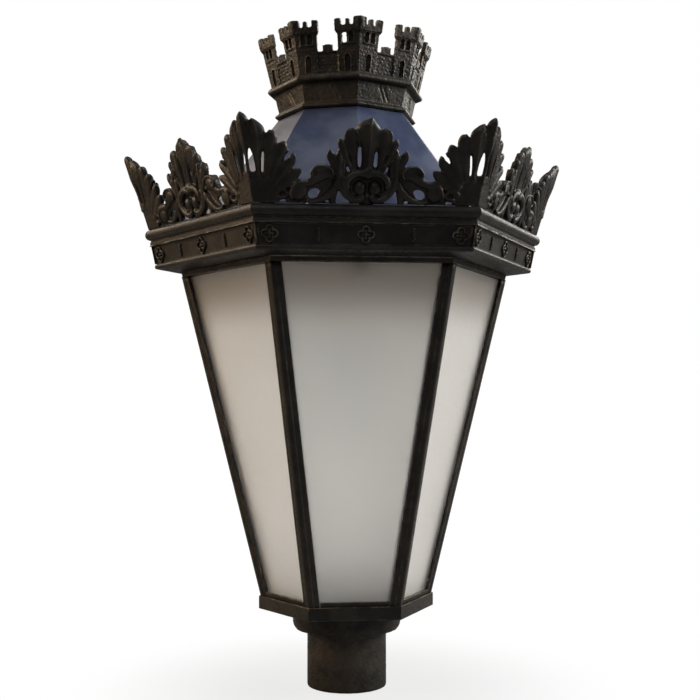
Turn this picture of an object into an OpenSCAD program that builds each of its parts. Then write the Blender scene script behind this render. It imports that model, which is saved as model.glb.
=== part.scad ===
// Post-top street lantern: hexagonal glazed cage, hinged hood with a pierced crest, castle crown.
// Millimetres. The origin is the centre of the sleeve's lower mouth, +Z is up, the front face looks to -Y.

/* [Post sleeve] */
// Outside diameter of the sleeve
sleeve_d = 93; // [88:0.5:110]
// Height of the straight sleeve below the cup
sleeve_h = 63; // [56:0.5:90]
// Bore for the post's spigot
bore_d = 78; // [60:0.5:79]
// Depth of the bore from the mouth to its shoulder
bore_depth = 75; // [66:0.5:80]
// Diameter of the cup under the tray
cup_d = 127; // [120:0.5:140]
// Height of the cup
cup_h = 27.4; // [24:0.1:40]
// Passage for the supply cable above the shoulder
wire_d = 36; // [24:0.5:44]
// Height of the set screws above the mouth
set_screw_z = 32; // [20:0.5:44]
// Thread diameter of the set screws
set_screw_d = 8; // [5:0.5:10]

/* [Cage] */
// Corner radius of the cage at the tray's rim
cage_r0 = 100.3; // [90:0.1:110]
// Corner radius of the cage under the hood
cage_r1 = 195; // [185:0.5:200]
// Height of the cage from the tray's rim to the hood
cage_h = 378.6; // [340:0.1:420]
// Height of the base tray
tray_h = 15.3; // [13:0.1:22]
// Thickness of the tray's floor
tray_floor = 5; // [3:0.1:6.5]
// Thickness of the tray's rim, on its corner radius
tray_wall = 1.6; // [1.2:0.1:4]
// Width of each leg of a corner bar
bar_leg = 11.5; // [10:0.1:14]
// Thickness of a corner bar's legs
bar_t = 4; // [3:0.1:5]
// Thickness of a corner bar's inner web
web_t = 3; // [2:0.1:4]
// Depth of a corner bar's inner web
web_depth = 9; // [8:0.1:12]
// Width of the raised rib on the outer corner of a bar
rib_w = 5; // [3:0.1:8]
// Height of that rib
rib_h = 1.1; // [0.6:0.1:2]
// Thickness of the glass
pane_t = 3; // [2:0.1:4]
// Distance of a pane's edge from the corner line
pane_edge = 7; // [6.6:0.1:8]
// Height of the bottom rails above the tray's rim
rail_h = 5; // [3:0.1:10]
// Thickness of the top frame
top_frame_t = 5.6; // [4.5:0.1:8]
// Width of the top frame, on its corner radius
top_frame_w = 26; // [22:0.5:34]
// Width of a glazing bead
bead_w = 3; // [2:0.1:4]
// Depth of a glazing bead
bead_d = 5; // [4:0.1:6]

/* [Frieze] */
// How far the frieze's corners stand out from the head of the cage
frieze_out = 27.5; // [26:0.5:39]
// Height of the frieze, from its lip to its top
frieze_h = 48.9; // [48.2:0.1:60]
// Radius of the frieze's lower nosing
nosing_r = 3.05; // [2:0.05:4]
// Radius of the frieze's upper torus
torus_r = 6.45; // [5:0.05:8]
// Height of the recessed panels
panel_h = 20.5; // [18:0.1:26]
// Outward lean of the panels over their height, on the corner radius
panel_out = 4.5; // [2:0.1:7]
// Thickness of the lip that rests over the cage
lip_t = 5; // [3:0.1:6]
// Outer radius of a rosette
rosette_r = 9.2; // [7:0.1:10]
// Distance between the rosettes of one face
rosette_pitch = 99; // [80:0.5:100]
// Height of a spindle bar between the rosettes
spindle_h = 17; // [10:0.5:19]
// How far rosettes and spindle bars stand out
relief = 1.8; // [1:0.1:3]

/* [Crest] */
// Height of the crest along its slope
crest_h = 95; // [80:0.5:110]
// Outward lean of the crest's corners, degrees
crest_lean = 17.5; // [8:0.5:25]
// Thickness of the crest castings
crest_t = 6; // [4:0.1:8]
// Height of the raised ribs on the petals
crest_relief = 2.6; // [1:0.1:4]
// Gap between two neighbouring crest castings at their mitre
mitre_gap = 0.3; // [0.2:0.05:1]

/* [Roof and collar] */
// How far the roof's corners stand back from the frieze's
roof_step = 43; // [41:0.5:55]
// Turn of the roof and what stands on it against the cage, degrees
roof_turn = 3; // [-22.5:0.5:22.5]
// Corner radius of the roof at its top
roof_r1 = 80; // [70:0.5:84]
// Height of the roof above the frieze
roof_h = 132.5; // [110:0.1:160]
// Thickness of the roof's sheet
roof_t = 1.5; // [1:0.1:3]
// Height of the collar
collar_h = 37.5; // [32:0.1:50]
// Corner radius of the collar's band at its foot
collar_r = 81; // [78:0.5:88]
// How much the collar's band widens upwards
collar_flare = 5; // [2:0.1:9]
// Wall of the collar
collar_wall = 6; // [4:0.1:9]

/* [Crown] */
// Corner radius of the crown's wall at its foot
crown_r = 90; // [84:0.5:92]
// Height of the crown along its slope
crown_h = 61; // [54:0.5:76]
// Outward lean of the crown's corners, degrees
crown_lean = 14; // [8:0.5:22]
// Thickness of the crown's walls
crown_wall = 4.5; // [3.5:0.1:6]
// How far the parapet and the sills stand out
parapet_out = 2; // [1:0.1:3]
// Height of the curtain walls
curtain_h = 25; // [18:0.5:30]
// Half width of the curtain walls
curtain_w = 11.5; // [8:0.5:14]
// Metal left behind the crown's blind windows and doors
window_back = 1.4; // [0.8:0.1:3]
// Thickness of the crown's floor
crown_floor_t = 3; // [2:0.1:5]

/* [Hinge and catch] */
// Distance of the hinge axis behind the cage's face
hinge_back = 8.4; // [8:0.1:10]
// Depth of the hinge axis below the hood's lip
hinge_drop = 4.6; // [4.6:0.1:6]
// Outer radius of the hinge's knuckles
knuckle_r = 4.5; // [4:0.1:4.6]
// Radius of the hinge pin
pin_r = 2.5; // [1.5:0.05:3]
// Running clearance of the pin in its knuckles, on the radius
pin_play = 0.06; // [0.03:0.01:0.1]
// Width of the whole hinge
hinge_w = 60; // [48:1:90]
// Radius of the catch's peg
peg_r = 4; // [3:0.1:6]

/* [Lamp gear] */
// Length of the glass of the lamp
lamp_l = 134; // [100:1:160]
// Radius of the glass of the lamp
lamp_r = 19; // [16:0.5:22]
// Radius of the porcelain lampholder
holder_r = 22.5; // [19:0.5:26]
// Height of the porcelain lampholder
holder_h = 30; // [26:0.5:40]
// Radius of the bracket cup above the lampholder
cup_bracket_r = 30; // [27:0.5:36]
// Height of the bracket cup
cup_bracket_h = 24; // [18:0.5:32]
// Thickness of the gear tray
gear_tray_t = 2; // [1:0.1:3]
// Length of the ballast
ballast_l = 112; // [80:1:130]
// Height of the ballast
ballast_h = 52; // [40:1:60]

/* [Hidden] */
$fn = 64;

iron = "#2b2622";
roof_paint = "#39425a";
zinc = "#9a9c9e";
steel = "#b9bbbd";
opal = "#d8d4cd";
white_paint = "#e6e4de";
porcelain = "#efece4";
brass = "#b08d4c";

sides = 6;
frieze_r = cage_r1 + frieze_out;
roof_r0 = frieze_r - roof_step;
gap = 0.3;
lid_gap = 0.4;

// Heights
tray_z = sleeve_h + cup_h;
floor_z = tray_z + tray_floor;
cage_z = tray_z + tray_h;
frame_z = cage_z + cage_h;
frame_low = frame_z - top_frame_t;
lid_z = frame_z + lid_gap;
top_z = lid_z + frieze_h;
roof_z = top_z + roof_h;
crown_z = roof_z + collar_h;
gear_z = lid_z + lip_t + gap;

// Leans of the cage, on its corners and on its faces
corner_lean = atan((cage_r1 - cage_r0) / cage_h);
face_lean = atan((cage_r1 - cage_r0) * cos(30) / cage_h);
edge_angle = atan((cage_r1 - cage_r0) / 2 / (cage_h / cos(face_lean)));
half_dihedral = asin(cos(30) * sqrt(1 + pow(tan(corner_lean), 2)) / sqrt(1 + pow(tan(face_lean), 2)));

function cage_r(z) = cage_r0 + (z - cage_z) * tan(corner_lean);
function cage_a(z) = cage_r(z) * cos(30);

// A point of a bar's section: s along the face from the corner line, d deep behind the face
function sd(s, d, side) = [-s * cos(half_dihedral) - d * sin(half_dihedral),
    side * (s * sin(half_dihedral) - d * cos(half_dihedral))];

// Puts its children on face k: x along the face, y up its slope, z outwards
module on_face(k, a, z, lean) {
    rotate([0, 0, 60 * (k - 1)]) translate([0, -a, z]) rotate([90 + lean, 0, 0]) children();
}

// Keeps the part of its children between two heights
module between(z0, z1, r = 400) {
    intersection() {
        children();
        translate([-r, -r, z0]) cube([2 * r, 2 * r, z1 - z0]);
    }
}

// A straight bar that leans along corner k of the cage, cut level at both ends
module corner_bar(k, z0, z1) {
    rotate([0, 0, 60 * (k - 1) - 60]) between(z0, z1)
        translate([cage_r(z0 - 20), 0, z0 - 20]) rotate([0, corner_lean, 0])
            linear_extrude((z1 - z0 + 60) / cos(corner_lean)) children();
}

// A screw that points down from the underside of its head
module screw(head_r, head_h, shank_r, shank_l) {
    cylinder(r = head_r, h = head_h);
    translate([0, 0, -shank_l]) cylinder(r = shank_r, h = shank_l);
}

// A hexagon nut or head
module hex(across, h) {
    cylinder(r = across / 2 / cos(30), h = h, $fn = 6);
}

// Sleeve and cup
set_screw_angles = [30, 90, 150];
sleeve_r = sleeve_d / 2;
sleeve_edge = 2;
cup_fillet = 3;
cup_curve = cup_d / 2 - sleeve_r - cup_fillet;
cup_band_z = sleeve_h + cup_fillet + cup_curve * 0.75;

module base_casting() {
    color(iron) difference() {
        rotate_extrude($fn = 96) difference() {
            union() {
                square([sleeve_r, tray_z]);
                translate([0, cup_band_z]) square([cup_d / 2, tray_z - cup_band_z]);
                intersection() {
                    translate([cup_d / 2 - cup_curve, cup_band_z]) circle(r = cup_curve, $fn = 96);
                    translate([0, sleeve_h]) square([cup_d, cup_h]);
                }
                translate([0, sleeve_h]) square([sleeve_r + cup_fillet * 0.6, cup_fillet]);
            }
            translate([sleeve_r - sleeve_edge, 0]) difference() {
                translate([0, -1]) square([sleeve_edge + 1, sleeve_edge + 1]);
                translate([0, sleeve_edge]) circle(r = sleeve_edge, $fn = 48);
            }
        }
        translate([0, 0, -1]) cylinder(d = bore_d, h = bore_depth + 1, $fn = 96);
        translate([0, 0, bore_depth - 1]) cylinder(d = wire_d, h = tray_z - bore_depth + 2);
        for (a = set_screw_angles) rotate([0, 0, a]) translate([0, 0, set_screw_z]) rotate([0, 90, 0])
            cylinder(d = set_screw_d + 0.1, h = sleeve_d);
        for (a = tray_bolt_angles) rotate([0, 0, a]) translate([tray_bolt_r, 0, tray_z - tray_bolt_l - gap])
            cylinder(d = tray_bolt_d + 0.1, h = tray_bolt_l + 1);
    }
}

module set_screws() {
    socket_d = set_screw_d / 2;
    length = sleeve_r - bore_d / 2 + 2;
    color(zinc) for (a = set_screw_angles) rotate([0, 0, a])
        translate([bore_d / 2 + gap, 0, set_screw_z]) rotate([0, 90, 0]) difference() {
            cylinder(d = set_screw_d, h = length);
            translate([0, 0, length - 3]) hex(socket_d, 4);
        }
}

// Tray
tray_r = cage_r0 + rib_h + gap + tray_wall;
tray_bolt_angles = [45, 135, 225, 315];
tray_bolt_r = (wire_d + cup_d) / 4 + 5;
tray_bolt_d = 6;
tray_bolt_l = 10;
gland_hole_r = 10.2;

module base_tray() {
    color(iron) difference() {
        translate([0, 0, tray_z]) cylinder(r = tray_r, h = tray_h, $fn = 6);
        translate([0, 0, floor_z]) cylinder(r = tray_r - tray_wall, h = tray_h, $fn = 6);
        translate([0, 0, tray_z - 1]) cylinder(r = gland_hole_r, h = tray_floor + 2);
        for (a = tray_bolt_angles) rotate([0, 0, a])
            translate([tray_bolt_r, 0, tray_z - 1]) cylinder(d = tray_bolt_d + 0.4, h = tray_floor + 2);
    }
}

module tray_bolts() {
    color(zinc) for (a = tray_bolt_angles) rotate([0, 0, a]) translate([tray_bolt_r, 0, floor_z]) {
        hex(10, 4);
        translate([0, 0, -tray_floor - tray_bolt_l]) cylinder(d = tray_bolt_d, h = tray_floor + tray_bolt_l);
    }
}

// Gland of the supply cable: a body through the floor, a nut below it and a dome above it
gland_across = 24;
gland_nut_h = 5;
gland_dome_h = 14;
cable_r = 5;

module cable_gland() {
    below = 9;
    color("#26282b") difference() {
        union() {
            translate([0, 0, tray_z - below]) cylinder(r = gland_hole_r - 0.2, h = tray_floor + below + 2);
            translate([0, 0, floor_z]) hex(gland_across, gland_nut_h);
            translate([0, 0, tray_z - gland_nut_h]) hex(gland_across, gland_nut_h);
            translate([0, 0, floor_z + gland_nut_h]) rotate_extrude()
                polygon([[0, 0], [11, 0], [11, gland_dome_h - 5], [8, gland_dome_h], [0, gland_dome_h]]);
        }
        translate([0, 0, tray_z - below - 1]) cylinder(r = cable_r, h = 40);
    }
}

module bottom_rails() {
    low = -3;
    high = (cage_z + rail_h - floor_z) / cos(face_lean) + 3;
    half = cage_r(floor_z) / 2 - (bar_leg + gap) / cos(edge_angle);
    w0 = half + low * tan(edge_angle);
    w1 = half + high * tan(edge_angle);
    color(iron) for (k = [1 : sides]) between(floor_z, cage_z + rail_h)
        on_face(k, cage_a(floor_z), floor_z, face_lean) translate([0, 0, -bar_t]) linear_extrude(bar_t)
            polygon([[-w0, low], [w0, low], [w1, high], [-w1, high]]);
}

// Corner bars
boss_in = 14;
boss_r = 4;
boss_h = 10;
frame_screw_r = 1.6;
frame_screw_l = 9;
boss_pos = cage_r(frame_low - boss_h) - boss_in;

module bar_section() {
    inner = bar_t / sin(half_dihedral);
    polygon([[0, 0], sd(bar_leg, 0, 1), sd(bar_leg, bar_t, 1), [-inner, 0],
        sd(bar_leg, bar_t, -1), sd(bar_leg, 0, -1)]);
    translate([-inner - web_depth, -web_t / 2]) square([web_depth + inner / 2, web_t]);
    intersection() {
        polygon([sd(0, -rib_h, 1) + [rib_h, 0], sd(rib_w, -rib_h, 1), sd(rib_w, bar_t / 2, 1), [-inner / 2, 0],
            sd(rib_w, bar_t / 2, -1), sd(rib_w, -rib_h, -1), sd(0, -rib_h, -1) + [rib_h, 0]]);
        translate([-rib_w * 2, -rib_w * 2]) square([rib_w * 2 + rib_h * 0.9, rib_w * 4]);
    }
}

module mullion(k) {
    color(iron) difference() {
        union() {
            corner_bar(k, floor_z, frame_low) bar_section();
            rotate([0, 0, 60 * (k - 1) - 60])
                translate([boss_pos, 0, frame_low - boss_h]) cylinder(r = boss_r, h = boss_h);
        }
        rotate([0, 0, 60 * (k - 1) - 60]) translate([boss_pos, 0, frame_low - boss_h - 1])
            cylinder(r = frame_screw_r + 0.1, h = boss_h + 2);
    }
}

module pane(k) {
    depth = bar_t + gap;
    bottom = (cage_z - 2 - floor_z) / cos(face_lean);
    top = (frame_low - gap - floor_z) / cos(face_lean) - (depth + pane_t) * tan(face_lean);
    half = cage_r(floor_z) / 2 - pane_edge / cos(edge_angle);
    w0 = half + bottom * tan(edge_angle);
    w1 = half + top * tan(edge_angle);
    color(opal) on_face(k, cage_a(floor_z), floor_z, face_lean) translate([0, 0, -depth - pane_t])
        linear_extrude(pane_t) polygon([[-w0, bottom], [w0, bottom], [w1, top], [-w1, top]]);
}

module glazing_beads() {
    d0 = bar_t + gap + pane_t + gap;
    d1 = d0 + bead_d;
    s0 = d1 / tan(half_dihedral) + web_t / 2 / sin(half_dihedral) + gap;
    s1 = s0 + bead_w;
    color(iron) for (k = [1 : sides], side = [-1, 1]) corner_bar(k, cage_z + rail_h, frame_low - boss_h - 4)
        polygon([sd(s0, d0, side), sd(s1, d0, side), sd(s1, d1, side), sd(s0, d1, side)]);
}

// Top frame
hinge_y = cage_a(frame_z) + hinge_back;
hinge_z = lid_z - hinge_drop;
land_y = cage_a(frame_z) + 0.4;
leaf_t = 3;
leaf_screw_x = hinge_w / 2 - 7;
leaf_screw_r = 2;
leaf_bolt_r = 1.5;
sink = 2.2;
frame_head_r = 3.2;

module top_frame() {
    inner = cage_r(frame_z) - top_frame_w;
    land_d = 14;
    color(iron) difference() {
        union() {
            rotate_extrude($fn = 6) polygon([[cage_r(frame_low), frame_low], [cage_r(frame_z), frame_z],
                [inner, frame_z], [inner, frame_low]]);
            translate([-hinge_w / 2 - 5, land_y - land_d, frame_low])
                cube([hinge_w + 10, land_d, top_frame_t]);
        }
        for (k = [1 : sides]) rotate([0, 0, 60 * k]) translate([boss_pos, 0, 0]) {
            translate([0, 0, frame_low - 1]) cylinder(r = frame_screw_r + 0.2, h = top_frame_t + 2);
            translate([0, 0, frame_z - sink]) cylinder(r = frame_head_r + 0.2, h = sink + 1);
        }
        for (x = [-leaf_screw_x, leaf_screw_x])
            translate([x, land_y - land_d + 2, frame_low + top_frame_t / 2]) rotate([-90, 0, 0])
                cylinder(r = leaf_bolt_r + 0.1, h = 20);
    }
}

module frame_screws() {
    color(zinc) for (k = [1 : sides]) rotate([0, 0, 60 * k]) translate([boss_pos, 0, frame_z - sink])
        screw(frame_head_r, sink - 0.2, frame_screw_r, frame_screw_l);
}

// Hinge: two knuckles on the frame, one on the hood
knuckle_w = hinge_w / 3;
frame_leaf_t = hinge_y - knuckle_r - gap - land_y;

// Hole for the pin through all knuckles
module pin_hole() {
    translate([-hinge_w, hinge_y, hinge_z]) rotate([0, 90, 0])
        cylinder(r = pin_r + pin_play, h = 2 * hinge_w);
}

module hinge_frame_leaf() {
    low = hinge_z - knuckle_r - 2;
    side_w = hinge_w / 2 - knuckle_w / 2 - gap;
    color(iron) difference() {
        union() {
            translate([-hinge_w / 2, land_y, low]) cube([hinge_w, frame_leaf_t, frame_z - low]);
            for (x = [-hinge_w / 2, hinge_w / 2 - side_w]) translate([x, 0, 0]) {
                translate([0, hinge_y, hinge_z]) rotate([0, 90, 0]) cylinder(r = knuckle_r, h = side_w);
                translate([0, land_y, hinge_z - knuckle_r]) cube([side_w, hinge_y - land_y, knuckle_r]);
            }
        }
        pin_hole();
        for (x = [-leaf_screw_x, leaf_screw_x]) translate([x, land_y - 1, frame_low + top_frame_t / 2])
            rotate([-90, 0, 0]) cylinder(r = leaf_bolt_r + 0.2, h = 20);
    }
}

module frame_leaf_screws() {
    depth = 8;
    color(zinc) for (x = [-leaf_screw_x, leaf_screw_x])
        translate([x, land_y - depth, frame_low + top_frame_t / 2]) rotate([-90, 0, 0])
            cylinder(r = leaf_bolt_r, h = depth + frame_leaf_t + 1);
}

module hinge_pin() {
    head_h = 1.5;
    color(steel) translate([-hinge_w / 2 - gap, hinge_y, hinge_z]) rotate([0, 90, 0]) {
        translate([0, 0, -head_h]) cylinder(r = pin_r + 1, h = head_h);
        cylinder(r = pin_r, h = hinge_w + 2 * gap);
        translate([0, 0, hinge_w + 2 * gap]) cylinder(r = pin_r + 1, h = head_h);
    }
}

pad_y = hinge_y + knuckle_r + 1.6;
pad_l = 11;
pad_drop = 1.4;
pad_z = lid_z + pad_drop;
pad_w = 2 * knuckle_w;
pad_screws = [-pad_w / 2 + 5, pad_w / 2 - 5];
lid_screw_in = 3;

module hinge_lid_leaf() {
    wide = knuckle_w - gap;
    color(iron) difference() {
        union() {
            translate([-wide / 2, hinge_y, hinge_z]) rotate([0, 90, 0]) cylinder(r = knuckle_r, h = wide);
            translate([-wide / 2, hinge_y, hinge_z]) cube([wide, knuckle_r + 4, pad_z - 0.6 - hinge_z]);
            translate([-pad_w / 2, pad_y, pad_z - leaf_t]) cube([pad_w, pad_l, leaf_t]);
        }
        pin_hole();
        for (x = pad_screws) translate([x, pad_y + pad_l / 2, pad_z - leaf_t - 1])
            cylinder(r = leaf_screw_r + 0.1, h = leaf_t + 2);
    }
}

module lid_leaf_screws() {
    color(zinc) for (x = pad_screws) translate([x, pad_y + pad_l / 2, pad_z - leaf_t])
        mirror([0, 0, 1]) screw(3.5, 1.8, leaf_screw_r - 0.1, leaf_t + lid_screw_in);
}

// Spring catch at the front: a fork on the frame and a peg under the gear tray
catch_back_y = -(cage_r(frame_z) - top_frame_w) * cos(30);
catch_y = catch_back_y + 2 + 2 * peg_r;
peg_in = 9;

module catch_spring() {
    cheek = 1.5;
    fork_h = 16;
    inner = peg_r + gap;
    color(steel) translate([0, catch_back_y + gap / 2, frame_z - fork_h]) {
        translate([-inner - cheek, 0, 0]) cube([2 * (inner + cheek), cheek, fork_h - 1]);
        for (x = [-inner - cheek, inner]) translate([x, 0, 0]) cube([cheek, 2 + 3 * peg_r, fork_h]);
    }
}

module catch_peg() {
    color(steel) translate([0, catch_y, 0]) {
        translate([0, 0, gear_z - 2]) cylinder(r = peg_r + 3, h = 2);
        translate([0, 0, frame_z - peg_in]) cylinder(r = peg_r, h = gear_z - 1 - frame_z + peg_in);
        translate([0, 0, frame_z - peg_in]) sphere(r = peg_r);
    }
}

// Frieze of the hood
panel_low = lid_z + frieze_h - 2 * torus_r - 7 - panel_h;
band_r = frieze_r + panel_out + 4.4;
torus_pos = frieze_r + panel_out + 4;
panel_lean = atan(panel_out * cos(30) / panel_h);

// Points of a half round that bulges outwards from z0 to z1
function half_round(r, z0, z1, n) = [for (i = [0 : n]) let (a = -90 + 180 * i / n)
    [r + (z1 - z0) / 2 * cos(a), (z0 + z1) / 2 + (z1 - z0) / 2 * sin(a)]];

// Section of the frieze ring, from its lip up the outside and back down the inside
function frieze_profile(inner, nose_z) = concat(
    [[inner, lid_z]],
    half_round(frieze_r + 0.5, nose_z, panel_low - 0.2, 8),
    [[frieze_r, panel_low], [frieze_r + panel_out, panel_low + panel_h], [band_r, panel_low + panel_h],
        [band_r + 0.2, panel_low + panel_h + 4.7], [band_r - 0.9, top_z - 2 * torus_r - 1]],
    half_round(torus_pos, top_z - 2 * torus_r, top_z, 10),
    [[frieze_r - 11.5, top_z], [frieze_r - 11.5, top_z - 5], [frieze_r + panel_out - 2, top_z - 5],
        [frieze_r + panel_out - 3.5, panel_low + panel_h], [frieze_r - 3.5, panel_low - 1],
        [frieze_r - 12.5, lid_z + lip_t], [inner, lid_z + lip_t]]);

module frieze_ring() {
    inner = cage_r(frame_z) + 1;
    nose_z = panel_low - 2 * nosing_r;
    color(iron) difference() {
        union() {
            rotate_extrude($fn = 6) polygon(frieze_profile(inner, nose_z));
            translate([-pad_w / 2, pad_y, pad_z]) cube([pad_w, pad_l, lip_t - pad_drop]);
        }
        for (x = pad_screws) translate([x, pad_y + pad_l / 2, pad_z - 1])
            cylinder(r = leaf_screw_r, h = lid_screw_in + 1.2);
        for (k = [1 : sides]) rotate([0, 0, 60 * (k - 1)]) {
            for (x = lug_places) translate([x, -lug_screw_y, top_z - lug_screw_l + lug_h - 0.2])
                cylinder(r = lug_screw_r + 0.1, h = lug_screw_l);
            translate([0, -gear_screw_a, gear_z - gear_screw_in - 0.3])
                cylinder(r = gear_screw_r + 0.1, h = gear_screw_in + 2);
            for (x = roof_screw_places) translate([x, -roof_screw_a, top_z - roof_screw_in - 0.3])
                cylinder(r = roof_screw_r + 0.1, h = roof_screw_in + 2);
        }
    }
}

module quatrefoil() {
    lobe = rosette_r * 0.46;
    difference() {
        union() {
            for (a = [0 : 90 : 270]) rotate(a) translate([rosette_r - lobe, 0]) circle(r = lobe, $fn = 24);
            square(rosette_r, center = true);
        }
        for (a = [0 : 90 : 270]) rotate(a) translate([rosette_r - lobe, 0]) circle(r = lobe * 0.45, $fn = 16);
    }
}

// A figure on the middle line of a frieze panel
module on_panel(k, x) {
    on_face(k, (frieze_r + panel_out / 2) * cos(30), panel_low + panel_h / 2, panel_lean)
        translate([x, 0, 0]) children();
}

module frieze_rosettes() {
    color(iron) for (k = [1 : sides], i = [-1, 0, 1]) on_panel(k, i * rosette_pitch) {
        linear_extrude(relief) quatrefoil();
        cylinder(r = rosette_r * 0.2, h = relief * 1.5, $fn = 24);
    }
}

module frieze_spindles() {
    arc_r = spindle_h * 1.05;
    shift = arc_r - spindle_h * 0.13;
    color(iron) for (k = [1 : sides], i = [-0.5, 0.5]) on_panel(k, i * rosette_pitch) linear_extrude(relief)
        intersection() {
            translate([shift, 0]) circle(r = arc_r);
            translate([-shift, 0]) circle(r = arc_r);
            square(spindle_h, center = true);
        }
}

// Crest: a pierced casting on each face of the frieze
crest_r = frieze_r + 11.5;
crest_a = crest_r * cos(30);
crest_face_lean = atan(tan(crest_lean) * cos(30));
crest_scale = crest_h / 95;
crest_fit = crest_r / 237;
plate_h = 33;
lug_w = 14;
lug_h = 4;
lug_y = (frieze_r - 3) * cos(30) + gap;
lug_screw_y = lug_y + 3.6;
lug_x = crest_r / 2 - 16.5;
lug_places = [-lug_x, 0, lug_x];
lug_screw_r = 1.9;
lug_screw_l = 8;

// Half width of the crest at height h along its slope
function crest_w(h) = crest_r / 2 + h * cos(crest_face_lean) * tan(crest_lean) / 2;

// Where a point of the crest's tables lies once the crest has its own width and height
function spot(p) = [p[0] * crest_fit, p[1] * crest_scale];

// Outline of a petal from p to its tip q, w0 wide at the foot and w1 below the tip (half widths)
function petal_points(p, q, w0, w1) = let (d = q - p, l = norm(d), u = d / l, v = [-u[1], u[0]],
    steps = [0, 0.25, 0.5, 0.7, 0.8, 0.88, 0.94, 0.98],
    half = [for (t = steps)
        t < 0.7 ? w0 + (w1 - w0) * sin(128 * t) : w1 * sqrt(1 - pow((t - 0.7) / 0.31, 2))])
    concat([for (i = [0 : 7]) p + u * l * steps[i] - v * half[i]], [q],
        [for (i = [7 : -1 : 0]) p + u * l * steps[i] + v * half[i]]);

module petal(p, q, w0, w1) {
    polygon(petal_points(spot(p), spot(q), w0 * crest_scale, w1 * crest_scale));
}

// Half round rib along the upper part of a petal
rib_start = 0.38;
rib_end = 0.88;

module petal_rib(p, q, rib_r) {
    r = rib_r * crest_scale;
    a = spot(p + (q - p) * rib_start);
    d = spot(q - p);
    translate([a[0], a[1], crest_relief - r]) rotate([0, 0, atan2(d[1], d[0])]) rotate([0, 90, 0])
        cylinder(r = r, h = norm(d) * (rib_end - rib_start), $fn = 32);
}

// Each petal: foot, tip, half width at the foot, half width below the tip, radius of its rib
middle_petal = [[0, 22], [0, 90], 5, 11, 4];
palmette = [
    [[9, 24], [21, 77], 4, 8, 3],
    [[14, 22], [30.5, 65], 4, 6.5, 3],
    [[24, 18], [39.5, 52], 4, 5.5, 2.8]];
corner_petals = [
    [[110.5, 26], [118, 87], 5, 7, 3],
    [[104, 26], [104, 75.5], 4, 6.5, 2.8],
    [[101, 26], [91, 63.5], 4, 6, 2.8],
    [[98, 24], [80.5, 52.5], 4, 5.5, 2.8],
    [[95, 14], [73.5, 38.5], 4, 5.5, 2.8]];
// Each slot: foot, tip, half width
slots = [
    [[8, 42], [12, 61], 1.7],
    [[24, 30], [28, 44], 1.6],
    [[117.5, 35], [123.5, 63], 2.3],
    [[107.8, 35], [108.8, 57], 1.2]];
// Each disc of the scrollwork: centre, radius, radius of its pierced eye
discs = [
    [[12, 17], 19.5, 5.5],
    [[33, 6], 7, 0],
    [[53, 12], 14.5, 6.5],
    [[47, 30], 9, 0],
    [[67, 15], 10, 0],
    [[80.5, 7.5], 9, 2.6],
    [[30, 34], 6, 0]];
// Each rolled rim: centre, radius, radius of the roll, start and sweep of its arc
rims = [
    [[12, 17], 9, 2.8, 0, 360],
    [[12, 17], 16.5, 2.4, -70, 115],
    [[53, 12], 10.5, 3, 140, 160],
    [[47, 30], 4.6, 3.4, 0, 360],
    [[67, 15], 5.6, 3, 0, 360]];
// Each gap along the foot: centre and radius
foot_gaps = [[[25.5, -2.5], 5], [[42, -3], 6.5], [[71.5, -3], 5]];

// Openings of the right half
module crest_openings() {
    s = crest_scale;
    for (q = slots) petal(q[0], q[1], q[2] * 0.7, q[2]);
    for (d = discs) if (d[2] > 0) translate(spot(d[0])) circle(r = d[2] * s);
    for (g = foot_gaps) translate(spot(g[0])) circle(r = g[1] * s);
}

// Outline of the right half, without its openings
module crest_half() {
    s = crest_scale;
    petal(middle_petal[0], middle_petal[1], middle_petal[2], middle_petal[3]);
    for (p = concat(palmette, corner_petals)) petal(p[0], p[1], p[2], p[3]);
    polygon([spot([87, 0]), [crest_w(0) + 6, 0], [crest_w(plate_h) + 6, plate_h * s],
        [crest_w(crest_h) + 8, 97 * s], [crest_w(crest_h) - 4, 93 * s], [crest_w(70 * s) - 7, 70 * s],
        [crest_w(plate_h) - 4, plate_h * s], spot([90, plate_h])]);
    for (d = discs) translate(spot(d[0])) circle(r = d[1] * s);
    polygon([spot([33, 0]), spot([67, 0]), spot([66, 22]), spot([40, 26])]);
}

module crest_outline() {
    difference() {
        for (m = [0, 1]) mirror([m, 0]) crest_half();
        for (m = [0, 1]) mirror([m, 0]) crest_openings();
    }
}

// Raised rolls: ribs of the petals and rims of the scrolls
module crest_rolls() {
    s = crest_scale;
    petal_rib(middle_petal[0], middle_petal[1], middle_petal[4]);
    for (m = [0, 1]) mirror([m, 0, 0]) {
        for (p = concat(palmette, corner_petals)) petal_rib(p[0], p[1], p[4]);
        for (r = rims) translate([each spot(r[0]), crest_relief - r[2] * s]) rotate([0, 0, r[3]])
            rotate_extrude(angle = r[4], $fn = 48) translate([r[1] * s, 0]) circle(r = r[2] * s, $fn = 24);
    }
}

// The sector of face k between its two mitres
module sector(half_angle, shift, z0, z1) {
    l = 400;
    translate([0, 0, z0]) linear_extrude(z1 - z0)
        polygon([[0, -shift], [-l * sin(half_angle), -shift - l * cos(half_angle)],
            [l * sin(half_angle), -shift - l * cos(half_angle)]]);
}

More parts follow.
